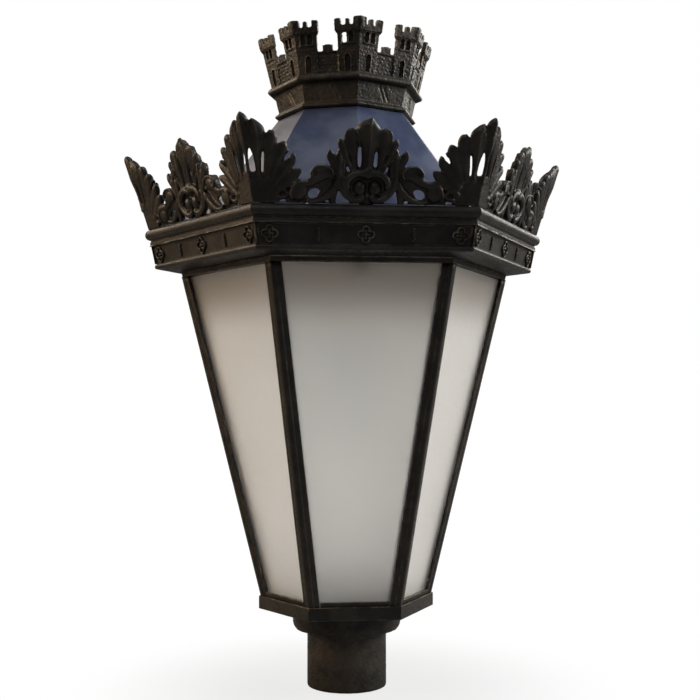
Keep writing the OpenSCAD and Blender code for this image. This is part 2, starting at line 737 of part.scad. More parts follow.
module crest(k) {
    color(iron) difference() {
        rotate([0, 0, 60 * (k - 1)]) union() {
            intersection() {
                sector(30, mitre_gap, top_z, top_z + crest_h + 10);
                on_face(1, crest_a, top_z, crest_face_lean)
                    union() {
                        translate([0, 0, -crest_t]) linear_extrude(crest_t) crest_outline();
                        crest_rolls();
                    }
            }
            for (x = lug_places) translate([x - lug_w / 2, -crest_a + 2, top_z])
                cube([lug_w, crest_a - 2 - lug_y, lug_h]);
        }
        rotate([0, 0, 60 * (k - 1)]) for (x = lug_places) translate([x, -lug_screw_y, top_z - 1])
            cylinder(r = lug_screw_r + 0.2, h = lug_h + 2);
    }
}

module crest_screws() {
    color(zinc) for (k = [1 : sides], x = lug_places) rotate([0, 0, 60 * (k - 1)])
        translate([x, -lug_screw_y, top_z + lug_h]) screw(3.1, 2.2, lug_screw_r, lug_screw_l);
}

// Roof: a hexagonal apron screwed to the frieze, and an eight-sided sheet cone that stands on it
roof_foot_r = frieze_r - 4;
roof_seat = 6;
roof_screw_a = (roof_foot_r - 3.8) * cos(30);
roof_screw_places = [-62, 62];
roof_screw_r = 1.7;
roof_screw_in = 4;
rod_r = 5;

// Corner radius of the roof's inside at a height
function roof_r(z) = roof_r0 + (roof_r1 - roof_r0) * (z - top_z) / roof_h;

module roof_apron() {
    color(roof_paint) translate([0, 0, top_z]) difference() {
        cylinder(r = roof_foot_r, h = roof_t, $fn = 6);
        rotate(roof_turn) translate([0, 0, -1]) cylinder(r = roof_r0 - roof_seat, h = roof_t + 2, $fn = 8);
        for (k = [1 : sides], x = roof_screw_places) rotate([0, 0, 60 * (k - 1)])
            translate([x, -roof_screw_a, -1]) cylinder(r = roof_screw_r + 0.2, h = roof_t + 2);
    }
}

module roof_screws() {
    color(zinc) for (k = [1 : sides], x = roof_screw_places) rotate([0, 0, 60 * (k - 1)])
        translate([x, -roof_screw_a, top_z + roof_t]) screw(3, 1.8, roof_screw_r, roof_t + roof_screw_in);
}

module roof_cover() {
    foot = top_z + roof_t;
    color(roof_paint) rotate(roof_turn) difference() {
        rotate_extrude($fn = 8) polygon([[roof_r(foot) + roof_t, foot], [roof_r1 + roof_t, roof_z],
            [0, roof_z], [0, roof_z - roof_t], [roof_r1, roof_z - roof_t], [roof_r(foot), foot]]);
        translate([0, 0, roof_z - 10]) cylinder(r = rod_r + 0.3, h = 20);
    }
}

// Collar: a band between two ring mouldings
ring_low = 7.7;
ring_high = 9;

module collar_casting() {
    z0 = roof_z;
    z1 = crown_z - ring_high;
    band_top = collar_r + collar_flare;
    color(iron) rotate(roof_turn) rotate_extrude($fn = 8) polygon(concat(
        [[collar_r - collar_wall, z0]],
        half_round(collar_r - 0.4, z0, z0 + ring_low, 8),
        [[collar_r, z0 + ring_low + 0.2], [band_top, z1]],
        half_round(band_top + 3, z1, crown_z - 1, 8),
        [[crown_r + 0.6, crown_z], [crown_r - crown_wall - 4, crown_z], [band_top - collar_wall, z1]]));
}

// Crown: eight towers bent round the corners of an octagon, with curtain walls between
crown_a = crown_r * cos(22.5);
crown_face_lean = atan(tan(crown_lean) * cos(22.5));
parapet_h = 15;
merlon_h = 10;
tower_top = crown_h - parapet_h;
window_w = 4.6;
window_h = 10;
window_x = 20.5;
window_pitch = 8.2;
door_w = 5;

// Half width of a facet at height h along its slope
function crown_w(h) = (crown_r + h * cos(crown_face_lean) * tan(crown_lean)) * sin(22.5);

module on_facet(k) {
    rotate([0, 0, 45 * (k - 1) + 22.5]) translate([0, -crown_a, crown_z])
        rotate([90 + crown_face_lean, 0, 0]) children();
}

// Opening with a round arch, standing on its foot
module arch(w, h) {
    translate([-w / 2, 0]) square([w, h - w / 2]);
    translate([0, h - w / 2]) circle(d = w, $fn = 24);
}

// The right half of a facet's wall, with or without its windows and door
module wall_half(open) {
    wide = crown_w(crown_h) + 4;
    difference() {
        union() {
            square([wide, curtain_h]);
            translate([0, curtain_h - 1]) square([6.5, 9]);
            polygon([[curtain_w + 0.5, 0], [wide, 0], [wide, tower_top + 1], [curtain_w, tower_top + 1]]);
        }
        if (open) {
            for (x = [window_x, window_x + window_pitch]) translate([x, tower_top - window_h - 2])
                arch(window_w, window_h);
            translate([window_x + 2, 5]) arch(door_w, 13);
        }
        translate([3, curtain_h + 5]) square([1.6, 5]);
    }
}

// The right half of a facet's parapet with its merlons
module parapet_half() {
    inner = curtain_w - 2.2;
    wide = crown_w(crown_h) + 5;
    translate([inner, tower_top]) square([wide - inner, parapet_h - merlon_h]);
    for (x = [inner, inner + 11.8]) translate([x, tower_top]) square([7, parapet_h - 1.5]);
    translate([crown_w(crown_h) - 7, tower_top]) square([12, parapet_h]);
}

module crown_castle() {
    color(iron) rotate(roof_turn) difference() {
        union() {
            for (k = [1 : 8]) intersection() {
                rotate([0, 0, 45 * (k - 1) + 22.5]) sector(22.5, 0, crown_z, crown_z + crown_h + 10);
                on_facet(k) for (m = [0, 1]) mirror([m, 0, 0]) {
                    translate([0, 0, -crown_wall]) linear_extrude(crown_wall) wall_half(true);
                    translate([0, 0, -crown_wall]) linear_extrude(window_back) wall_half(false);
                    translate([0, 0, -crown_wall]) linear_extrude(crown_wall + parapet_out) parapet_half();
                    translate([window_x - 4, tower_top - window_h - 4, -1])
                        cube([window_pitch + 8, 1.6, 1 + parapet_out * 0.6]);
                }
            }
            translate([0, 0, crown_z])
                cylinder(r = crown_r - crown_wall / 2, h = crown_floor_t, $fn = 8);
        }
        translate([0, 0, crown_z - 1]) cylinder(r = rod_r + 0.3, h = crown_floor_t + 2);
    }
}

// Rod and nuts that clamp the crown and the collar to the roof's head
nut_h = 8;
nut_across = 17;
washer_r = 15;
washer_h = 1.5;
rod_low = roof_z - roof_t - nut_h - 6;
rod_high = crown_z + crown_floor_t + nut_h + 5;

module tie_rod() {
    color(zinc) translate([0, 0, rod_low]) cylinder(r = rod_r, h = rod_high - rod_low);
}

module tie_nuts() {
    color(zinc) difference() {
        union() {
            translate([0, 0, roof_z - roof_t - washer_h - nut_h]) hex(nut_across, nut_h);
            translate([0, 0, roof_z - roof_t - washer_h]) cylinder(r = washer_r, h = washer_h);
            translate([0, 0, crown_z + crown_floor_t]) cylinder(r = washer_r, h = washer_h);
            translate([0, 0, crown_z + crown_floor_t + washer_h]) hex(nut_across, nut_h);
        }
        translate([0, 0, rod_low - 1]) cylinder(r = rod_r + 0.05, h = rod_high - rod_low + 2);
    }
}

// Gear tray and what it carries
gear_r = frieze_r - 15.5;
gear_rim = 8;
gear_rim_t = 1.8;
gear_top = gear_z + gear_tray_t;
gear_head_r = 3.6;
gear_screw_a = (gear_r - gear_rim_t) * cos(30) - gear_head_r - 0.5;
gear_screw_r = 2;
gear_screw_in = 3.4;
ballast_y = 62;

module gear_tray() {
    color(white_paint) difference() {
        translate([0, 0, gear_z]) cylinder(r = gear_r, h = gear_rim, $fn = 6);
        translate([0, 0, gear_top]) cylinder(r = gear_r - gear_rim_t, h = gear_rim, $fn = 6);
        translate([0, 0, gear_z - 1]) cylinder(r = 9, h = gear_tray_t + 2);
        for (k = [1 : sides]) rotate([0, 0, 60 * (k - 1)]) translate([0, -gear_screw_a, gear_z - 1])
            cylinder(r = gear_screw_r + 0.2, h = gear_tray_t + 2);
    }
}

module gear_tray_screws() {
    color(zinc) for (k = [1 : sides]) rotate([0, 0, 60 * (k - 1)]) translate([0, -gear_screw_a, gear_top])
        screw(gear_head_r, 2.2, gear_screw_r, gear_tray_t + gear_screw_in);
}

module ballast() {
    wide = 64;
    foot_l = 14;
    groove_w = 4;
    groove_x = ballast_l / 2 - 26;
    color("#5d6166") translate([0, ballast_y, gear_top]) difference() {
        union() {
            translate([-ballast_l / 2, -wide / 2, 0]) cube([ballast_l, wide, ballast_h]);
            translate([-ballast_l / 2 - foot_l, -wide / 2, 0]) cube([ballast_l + 2 * foot_l, wide, 3]);
        }
        for (side = [-1, 1]) {
            translate([side * (ballast_l / 2 + 8), 0, -1]) cylinder(r = 3, h = 6);
            translate([side * groove_x - groove_w / 2, -wide, ballast_h * 0.55])
                cube([groove_w, 2 * wide, ballast_h]);
        }
    }
}

ignitor_r = 19;
ignitor_h = 62;

module ignitor() {
    color("#d9d6cf") translate([-62, -52, gear_top]) {
        cylinder(r = ignitor_r, h = ignitor_h);
        translate([0, 0, ignitor_h]) cylinder(r = ignitor_r * 0.79, h = 4);
    }
}

module terminal_block() {
    poles = 5;
    pitch = 12;
    size = [poles * pitch + 6, 24, 20];
    color("#e9e7e2") translate([18, -70, gear_top]) difference() {
        cube(size);
        for (i = [0 : poles - 1]) translate([9 + pitch * i, 12, 8]) cylinder(r = 3.4, h = 20, $fn = 24);
        for (i = [0 : poles]) translate([2.4 + pitch * i, -1, 14]) cube([1.2, 30, 10]);
    }
}

bracket_z = gear_z - cup_bracket_h;
holder_z = bracket_z - holder_h;
socket_r = 13.6;

module holder_bracket() {
    wall = 2;
    inner = cup_bracket_r - wall;
    flange_r = cup_bracket_r + 9;
    color(white_paint) rotate_extrude() polygon([[8, bracket_z], [inner, bracket_z],
        [cup_bracket_r, bracket_z + wall], [cup_bracket_r, gear_z - wall], [flange_r, gear_z - wall],
        [flange_r, gear_z], [inner, gear_z], [inner, bracket_z + wall], [8, bracket_z + wall]]);
}

module lampholder() {
    color(porcelain) rotate_extrude() difference() {
        translate([0, holder_z]) square([holder_r, holder_h]);
        translate([0, holder_z - 1]) square([socket_r, holder_h - 4]);
        translate([holder_r + 1, holder_z + holder_h * 0.55]) circle(r = 2, $fn = 24);
    }
}

// Lamp: a screwed cap, a tubular glass and the burner on its wire frame
cap_r = 13;
lamp_z = holder_z - 4;
glass_t = 1.2;

module lamp_cap() {
    color(brass) rotate_extrude() polygon(concat([[0, lamp_z], [cap_r, lamp_z]],
        [for (i = [0 : 6]) each [[cap_r, holder_z - 1 + i * 3.4], [cap_r - 0.8, holder_z + 0.7 + i * 3.4]]],
        [[7, holder_z + 22.6], [4.5, holder_z + 24.4], [0, holder_z + 24.4]]));
}

// Half section of the glass, smaller by the inset all round
module lamp_half(inset) {
    low = lamp_z - lamp_l + lamp_r;
    neck = lamp_z - 18;
    r = lamp_r - inset;
    translate([0, low]) square([r, neck - low]);
    polygon([[0, neck], [r, neck], [cap_r - inset, lamp_z - 6 - inset],
        [cap_r - inset, lamp_z - 3 * inset], [0, lamp_z - 3 * inset]]);
    intersection() {
        translate([0, low]) circle(r = r);
        translate([0, low - lamp_r]) square([lamp_r, lamp_r]);
    }
}

module lamp_glass() {
    color("#dfe6e8") rotate_extrude() difference() {
        lamp_half(0);
        lamp_half(glass_t);
    }
}

module arc_tube() {
    stem_top = lamp_z - 3 * glass_t - 0.05;
    burner_z = lamp_z - 98;
    foot_z = burner_z - 7;
    side_x = 9;
    color("#f4efe2") {
        translate([0, 0, burner_z]) cylinder(r = 3.6, h = 62);
        translate([0, 0, burner_z + 61]) cylinder(r = 1, h = stem_top - burner_z - 61, $fn = 24);
        translate([side_x, 0, foot_z - 1]) cylinder(r = 0.9, h = stem_top - foot_z + 1, $fn = 24);
        translate([0, 0, foot_z]) rotate([0, 90, 0]) cylinder(r = 0.9, h = side_x, $fn = 24);
        translate([0, 0, foot_z]) cylinder(r = 0.9, h = 8, $fn = 24);
    }
}

base_casting();
set_screws();
base_tray();
tray_bolts();
cable_gland();
bottom_rails();
mullion(1);  // mullion_1
mullion(2);  // mullion_2
mullion(3);  // mullion_3
mullion(4);  // mullion_4
mullion(5);  // mullion_5
mullion(6);  // mullion_6
pane(1);  // pane_1
pane(2);  // pane_2
pane(3);  // pane_3
pane(4);  // pane_4
pane(5);  // pane_5
pane(6);  // pane_6
glazing_beads();
top_frame();
frame_screws();
hinge_frame_leaf();
frame_leaf_screws();
hinge_pin();
catch_spring();
hinge_lid_leaf();
lid_leaf_screws();
frieze_ring();
frieze_rosettes();
frieze_spindles();
crest(1);  // crest_1
crest(2);  // crest_2
crest(3);  // crest_3
crest(4);  // crest_4
crest(5);  // crest_5
crest(6);  // crest_6
crest_screws();
roof_apron();
roof_screws();
roof_cover();
collar_casting();
crown_castle();
tie_rod();
tie_nuts();
gear_tray();
gear_tray_screws();
ballast();
ignitor();
terminal_block();
holder_bracket();
lampholder();
lamp_cap();
lamp_glass();
arc_tube();
catch_peg();
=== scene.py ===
"""Looks of a post-top street lantern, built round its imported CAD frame."""

import logging
import math
from collections.abc import Callable
from dataclasses import dataclass
from enum import Enum

import bmesh
import bpy
from mathutils import Matrix, Vector, noise
from mathutils.geometry import tessellate_polygon


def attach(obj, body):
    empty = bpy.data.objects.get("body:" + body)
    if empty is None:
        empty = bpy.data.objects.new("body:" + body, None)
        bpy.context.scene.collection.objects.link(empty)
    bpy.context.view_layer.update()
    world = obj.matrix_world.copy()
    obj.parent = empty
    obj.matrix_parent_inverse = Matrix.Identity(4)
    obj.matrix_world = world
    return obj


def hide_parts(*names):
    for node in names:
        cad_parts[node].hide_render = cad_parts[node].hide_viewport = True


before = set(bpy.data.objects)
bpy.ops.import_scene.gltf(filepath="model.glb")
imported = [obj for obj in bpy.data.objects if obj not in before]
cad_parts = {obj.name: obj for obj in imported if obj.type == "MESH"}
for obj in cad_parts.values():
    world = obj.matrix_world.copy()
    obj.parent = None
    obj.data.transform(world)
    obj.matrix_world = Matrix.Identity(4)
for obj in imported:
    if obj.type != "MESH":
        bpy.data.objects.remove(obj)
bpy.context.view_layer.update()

log = logging.getLogger("lantern")
logging.basicConfig(level=logging.INFO, format="%(name)s: %(message)s")

# Metres in a millimetre, and how far the sides of a hexagon and an octagon stand from the
# middle when their corners stand at one.
MM = 0.001
HEX_FLAT = math.cos(math.pi / 6)
OCT_FLAT = math.cos(math.pi / 8)

# Points of a new mesh that lie closer than this are joined, in metres.
WELD = 1e-6

Colour = tuple[float, float, float]
Point2 = tuple[float, float]
Point3 = tuple[float, float, float]
Ring = list[Vector]
Loop = tuple[Point2, ...]
Cut = Callable[[float, float, float], float]
Piece = bpy.types.Object
Mesh = bpy.types.Mesh
Material = bpy.types.Material
Tree = bpy.types.NodeTree
Node = bpy.types.Node
Socket = bpy.types.NodeSocket
Value = float | bpy.types.NodeSocket
Setting = Value | tuple[float, ...]


class Body(Enum):
    """The two bodies of the lantern."""

    CAGE = "cage"
    HOOD = "hood"


# Meshes


def about_axis(degrees: float) -> Matrix:
    """A turn about the upright axis."""
    return Matrix.Rotation(math.radians(degrees), 4, "Z")


def polar(radius: float, angle: float, z: float = 0.0) -> Vector:
    """A point at a distance and an angle in radians round the axis."""
    return Vector((radius * math.cos(angle), radius * math.sin(angle), z))


def spread(parts: int, low: float = -1.0, span: float = 2.0) -> list[float]:
    """Evenly spaced numbers, one more than the parts between them."""
    return [low + span * i / parts for i in range(parts + 1)]


def oblong(left: float, low: float, right: float, high: float) -> list[Point2]:
    """Corners of an upright rectangle."""
    return [(left, low), (right, low), (right, high), (left, high)]


class Shape:
    """A mesh under construction, in millimetres."""

    def __init__(self) -> None:
        """Starts with no points and no faces."""
        self.points: list[Vector] = []
        self.faces: list[tuple[int, ...]] = []

    def loft(self, rings: list[Ring], wrap: bool = False) -> "Shape":
        """Joins closed rings of points with quads, and closes the ends with fans.

        Args:
            rings: Closed rings with the same number of points each.
            wrap: Joins the last ring to the first one, which leaves no ends.

        Returns:
            The shape itself.
        """
        start, size = len(self.points), len(rings[0])
        for ring in rings:
            self.points.extend(Vector(p) for p in ring)
        count = len(rings)
        for i in range(count if wrap else count - 1):
            a, b = start + i * size, start + (i + 1) % count * size
            for j in range(size):
                k = (j + 1) % size
                self.faces.append((a + j, a + k, b + k, b + j))
        if not wrap:
            for first in (start, start + (count - 1) * size):
                centre = sum((self.points[first + j] for j in range(size)), Vector()) / size
                self.points.append(centre)
                middle = len(self.points) - 1
                self.faces.extend((first + j, first + (j + 1) % size, middle) for j in range(size))
        return self

    def plate(self, loops: list[list[Point2] | Loop], low: float, high: float) -> "Shape":
        """Adds a flat plate with holes, lying in the XY plane.

        Args:
            loops: The outline first, then the outlines of the holes.
            low: Height of the underside.
            high: Height of the top.

        Returns:
            The shape itself.
        """
        flat = [[Vector((x, y, 0)) for x, y in loop] for loop in loops]
        triangles = tessellate_polygon(flat)
        base = len(self.points)
        corners = [p for loop in flat for p in loop]
        for height in (low, high):
            self.points.extend(Vector((p.x, p.y, height)) for p in corners)
        top = base + len(corners)
        for t in triangles:
            self.faces.append(tuple(base + i for i in t))
            self.faces.append(tuple(top + i for i in reversed(t)))
        first = 0
        for loop in flat:
            for i in range(len(loop)):
                a, b = first + i, first + (i + 1) % len(loop)
                self.faces.append((base + a, base + b, top + b, top + a))
            first += len(loop)
        return self

    def box(self, low: Vector, high: Vector) -> "Shape":
        """Adds a box between two corners and returns the shape."""
        return self.plate([oblong(low[0], low[1], high[0], high[1])], low[2], high[2])

    def add(self, other: "Shape", place: Matrix | None = None) -> "Shape":
        """Adds a copy of another shape.

        Args:
            other: The shape to copy.
            place: Where the copy goes.

        Returns:
            The shape itself.
        """
        start = len(self.points)
        self.points.extend((place @ p) if place else p.copy() for p in other.points)
        self.faces.extend(tuple(start + i for i in f) for f in other.faces)
        return self

    def piece(self, name: str) -> Piece:
        """Makes an object of the shape.

        Args:
            name: Name of the piece.

        Returns:
            The new object, in metres.
        """
        mesh = bpy.data.meshes.new(name)
        mesh.from_pydata([p * MM for p in self.points], [], self.faces)
        tidy = bmesh.new()
        tidy.from_mesh(mesh)
        bmesh.ops.remove_doubles(tidy, verts=tidy.verts, dist=WELD)
        bmesh.ops.recalc_face_normals(tidy, faces=tidy.faces)
        tidy.to_mesh(mesh)
        tidy.free()
        mesh.shade_smooth()
        made = bpy.data.objects.new(name, mesh)
        bpy.context.scene.collection.objects.link(made)
        return made


def applied(piece: Piece) -> Piece:
    """Turns the piece's modifiers into its mesh.

    Args:
        piece: An object with modifiers.

    Returns:
        The same object without them.
    """
    bpy.context.view_layer.update()
    result = piece.evaluated_get(bpy.context.evaluated_depsgraph_get())
    mesh = bpy.data.meshes.new_from_object(result)
    mesh.name = piece.name
    piece.modifiers.clear()
    piece.data = mesh
    return piece


def fused(piece: Piece, voxel: float, smooth: int = 2) -> Piece:
    """Melts overlapping shells into one cast skin.

    Args:
        piece: An object made of closed shells.
        voxel: Size of the skin's cells in millimetres.
        smooth: How many times the skin is smoothed.

    Returns:
        The same object.
    """
    remesh = piece.modifiers.new("skin", "REMESH")
    remesh.mode = "VOXEL"
    remesh.voxel_size = voxel * MM
    remesh.use_smooth_shade = True
    soften = piece.modifiers.new("soften", "SMOOTH")
    soften.iterations = smooth
    soften.factor = 0.5
    return applied(piece)


def bevelled(piece: Piece, width: float, angle: float = 25) -> Piece:
    """Rounds the piece's edges.

    Args:
        piece: The object.
        width: Width of the rounding in millimetres.
        angle: Edges sharper than this many degrees are rounded.

    Returns:
        The same object.
    """
    bevel = piece.modifiers.new("edges", "BEVEL")
    bevel.width = width * MM
    bevel.segments = 2
    bevel.limit_method = "ANGLE"
    bevel.angle_limit = math.radians(angle)
    bevel.harden_normals = False
    return applied(piece)


def hammered(piece: Piece, depth: float, grain: float, seed: float = 0.0) -> Piece:
    """Sinks the skin here and there, as sand casting leaves it.

    Args:
        piece: An object with a fine mesh.
        depth: Greatest depth in millimetres.
        grain: Size of the dents in millimetres.
        seed: Shifts the pattern.

    Returns:
        The same object.
    """
    mesh = piece.data
    normals = [v.normal.copy() for v in mesh.vertices]
    shift = Vector((seed, 2 * seed, 3 * seed))
    coarse, fine, finer = 0.65, 0.35, 2.3
    for vertex, normal in zip(mesh.vertices, normals):
        place = vertex.co / (grain * MM) + shift
        value = coarse * noise.noise(place) + fine * noise.noise(place * finer)
        vertex.co -= normal * (0.5 + 0.5 * value) * depth * MM
    mesh.update()
    return piece


def rounded(points: list[Point2] | Loop, radius: float, steps: int = 3) -> list[Point2]:
    """Rounds the corners of a closed outline.

    Args:
        points: Corners of the outline.
        radius: How far from a corner the rounding starts.
        steps: Points of each rounding, less one.

    Returns:
        The new outline.
    """
    made: list[Point2] = []
    count, most = len(points), 0.45
    for i, point in enumerate(points):
        here, before, after = Vector(point), Vector(points[i - 1]), Vector(points[(i + 1) % count])
        a = here + (before - here).normalized() * min(radius, (before - here).length * most)
        b = here + (after - here).normalized() * min(radius, (after - here).length * most)
        for k in range(steps + 1):
            t = k / steps
            p = a * (1 - t) ** 2 + here * 2 * t * (1 - t) + b * t ** 2
            made.append((p.x, p.y))
    return made


def half_round(radius: float, low: float, high: float, steps: int) -> list[Point2]:
    """Points of a half round that bulges outwards between two heights.

    Args:
        radius: Radius of its straight side.
        low: Lower end.
        high: Upper end.
        steps: Parts of the arc.

    Returns:
        Points from the lower end to the upper one.
    """
    made = []
    bulge = (high - low) / 2
    for degrees in spread(steps, -90, 180):
        angle = math.radians(degrees)
        made.append((radius + bulge * math.cos(angle), (low + high) / 2 + bulge * math.sin(angle)))
    return made


def dense(points: list[Point2], pitch: float) -> list[Point2]:
    """Adds points to a closed outline.

    Args:
        points: Corners of the outline.
        pitch: The greatest distance that it leaves between two points.

    Returns:
        The finer outline.
    """
    made: list[Point2] = []
    for i, point in enumerate(points):
        a, b = Vector(point), Vector(points[(i + 1) % len(points)])
        parts = max(1, math.ceil((b - a).length / pitch))
        made.extend(tuple(a.lerp(b, k / parts)) for k in range(parts))
    return made


def arch(x: float, low: float, width: float, height: float) -> list[Point2]:
    """Outline of an opening with a round head.

    Args:
        x: Middle of the opening.
        low: Its foot.
        width: Its width.
        height: Its whole height.

    Returns:
        The outline.
    """
    half, steps = width / 2, 10
    made = [(x - half, low), (x + half, low)]
    for i in range(steps + 1):
        angle = math.pi * i / steps
        made.append((x + half * math.cos(angle), low + height - half + half * math.sin(angle)))
    return made


def polygon_ring(profile: list[Point2], sides: int, stations: list[float], cut: Cut | None = None) -> Shape:
    """A closed section swept round a regular polygon with mitred corners.

    Args:
        profile: Section as (corner radius, height).
        sides: Sides of the polygon, with a corner on +X.
        stations: Places along a side, from -1 to 1.
        cut: Function of (share along the side, radius, height) that gives a new radius.

    Returns:
        The shape.
    """
    half = math.pi / sides
    rings: list[Ring] = []
    for side in range(sides):
        turn = Matrix.Rotation(2 * half * side + half, 4, "Z")
        for share in stations[:-1]:
            ring = []
            for radius, height in profile:
                r = cut(share, radius, height) if cut else radius
                ring.append(turn @ Vector((r * math.cos(half), share * r * math.sin(half), height)))
            rings.append(ring)
    return Shape().loft(rings, wrap=True)


def sweep(path: list[Vector], widths: list[float], depths: list[float], sides: int = 14) -> Shape:
    """A bar with an oval section along a path in the plane of a face.

    Args:
        path: Points (along the face, up the face, outwards).
        widths: Half width at each point, within the face.
        depths: Half depth at each point, outwards.
        sides: Points of the section.

    Returns:
        The shape.
    """
    rings = []
    for i, point in enumerate(path):
        ahead = path[min(i + 1, len(path) - 1)] - path[max(i - 1, 0)]
        across = Vector((-ahead.y, ahead.x, 0)).normalized()
        ring = []
        for k in range(sides):
            angle = 2 * math.pi * k / sides
            rise = Vector((0, 0, depths[i] * math.sin(angle)))
            ring.append(point + across * widths[i] * math.cos(angle) + rise)
        rings.append(ring)
    return Shape().loft(rings)


def ball(centre: Vector, radii: Vector, rows: int = 9, sides: int = 16) -> Shape:
    """An egg with three radii.

    Args:
        centre: Its middle.
        radii: Its radii.
        rows: Rings from pole to pole.
        sides: Points of each ring.

    Returns:
        The shape.
    """
    rings = []
    around = [2 * math.pi * k / sides for k in range(sides)]
    for i in range(1, rows):
        tilt = math.pi * i / rows
        wide, deep, rise = radii[0] * math.sin(tilt), radii[1] * math.sin(tilt), radii[2] * math.cos(tilt)
        rings.append([centre + Vector((wide * math.cos(a), deep * math.sin(a), rise)) for a in around])
    return Shape().loft(rings)


# Finishes


class Graph:
    """Adds nodes to one node tree and joins their sockets."""

    def __init__(self, tree: Tree) -> None:
        """Takes the tree that it works on."""
        self.tree = tree

    def node(self, kind: str, inputs: dict[str | int, Setting] | None = None, **settings: object) -> Node:
        """Adds a node.

        Args:
            kind: Type of the node.
            inputs: Values or sockets for its inputs, by name or number.
            **settings: Its other settings.

        Returns:
            The node.
        """
        made = self.tree.nodes.new(kind)
        for key, value in settings.items():
            setattr(made, key, value)
        for key, value in (inputs or {}).items():
            socket = made.inputs[key]
            if isinstance(value, Socket):
                self.tree.links.new(value, socket)
            else:
                socket.default_value = value
        return made

    def link(self, value: Socket, node: Node, name: str) -> None:
        """Joins a value to a node's input."""
        self.tree.links.new(value, node.inputs[name])

    def math(self, operation: str, a: Value, b: Value) -> Socket:
        """A number worked out from two others."""
        return self.node("ShaderNodeMath", {0: a, 1: b}, operation=operation).outputs[0]

    def times(self, a: Value, b: Value) -> Socket:
        """The product of two numbers."""
        return self.math("MULTIPLY", a, b)

    def vector(self, operation: str, output: str, inputs: dict[str | int, Setting]) -> Socket:
        """A vector or a number worked out from vectors."""
        return self.node("ShaderNodeVectorMath", inputs, operation=operation).outputs[output]

    def fade(self, value: Socket, low: float, high: float, to_low: float = 0.0,
             to_high: float = 1.0) -> Socket:
        """A smooth step of a value from one level to another.

        Args:
            value: The value that it follows.
            low: Where the step starts.
            high: Where it ends.
            to_low: Level before the step.
            to_high: Level after it.

        Returns:
            The stepped value.
        """
        inputs = {"Value": value, "From Min": low, "From Max": high, "To Min": to_low, "To Max": to_high}
        return self.node("ShaderNodeMapRange", inputs, interpolation_type="SMOOTHSTEP").outputs["Result"]

    def between(self, value: Socket, low: float, high: float) -> Socket:
        """A level that goes from low to high as a value goes from nought to one."""
        return self.fade(value, 0.0, 1.0, low, high)

    def mix(self, share: Socket, a: Socket | Colour, b: Socket | Colour) -> Socket:
        """A mix of two colours.

        Args:
            share: The share of the second one.
            a: The first colour, a socket or three numbers.
            b: The second colour.

        Returns:
            The mixed colour.
        """
        colours = [c if isinstance(c, Socket) else (*c, 1.0) for c in (a, b)]
        made = self.node("ShaderNodeMix", {0: share, 6: colours[0], 7: colours[1]}, data_type="RGBA")
        return made.outputs[2]

    def noise(self, place: Socket, scale: Value, detail: float, roughness: float) -> Socket:
        """A cloudy value over the surface."""
        inputs = {"Vector": place, "Scale": scale, "Detail": detail, "Roughness": roughness}
        return self.node("ShaderNodeTexNoise", inputs).outputs["Fac"]

    def place(self, kind: str = "Object") -> Socket:
        """The place on the piece, in metres, or another texture coordinate."""
        return self.node("ShaderNodeTexCoord").outputs[kind]

    def own_place(self) -> Socket:
        """The place on the piece, shifted from piece to piece so that no two look alike.

        Returns:
            The shifted place, in metres.
        """
        number = self.node("ShaderNodeObjectInfo").outputs["Random"]
        shift = self.vector("SCALE", "Vector", {0: (3.1, 1.7, 2.3), "Scale": number})
        return self.vector("ADD", "Vector", {0: self.place(), 1: shift})

    def height(self, vector: Socket) -> Socket:
        """The upright part of a vector."""
        return self.node("ShaderNodeSeparateXYZ", {0: vector}).outputs["Z"]


def new_group(name: str, inputs: dict[str, float | None], outputs: list[str]) -> tuple[Graph, Node, Node]:
    """Starts a shader node group with named sockets.

    Args:
        name: Name of the group.
        inputs: Default of each input; a place has none.
        outputs: Names of the outputs, all plain values.

    Returns:
        The graph, its input node and its output node.
    """
    tree = bpy.data.node_groups.new(name, "ShaderNodeTree")
    for key, value in inputs.items():
        kind = "NodeSocketVector" if value is None else "NodeSocketFloat"
        socket = tree.interface.new_socket(name=key, in_out="INPUT", socket_type=kind)
        if value is not None:
            socket.default_value = value
    for key in outputs:
        tree.interface.new_socket(name=key, in_out="OUTPUT", socket_type="NodeSocketFloat")
    return Graph(tree), tree.nodes.new("NodeGroupInput"), tree.nodes.new("NodeGroupOutput")


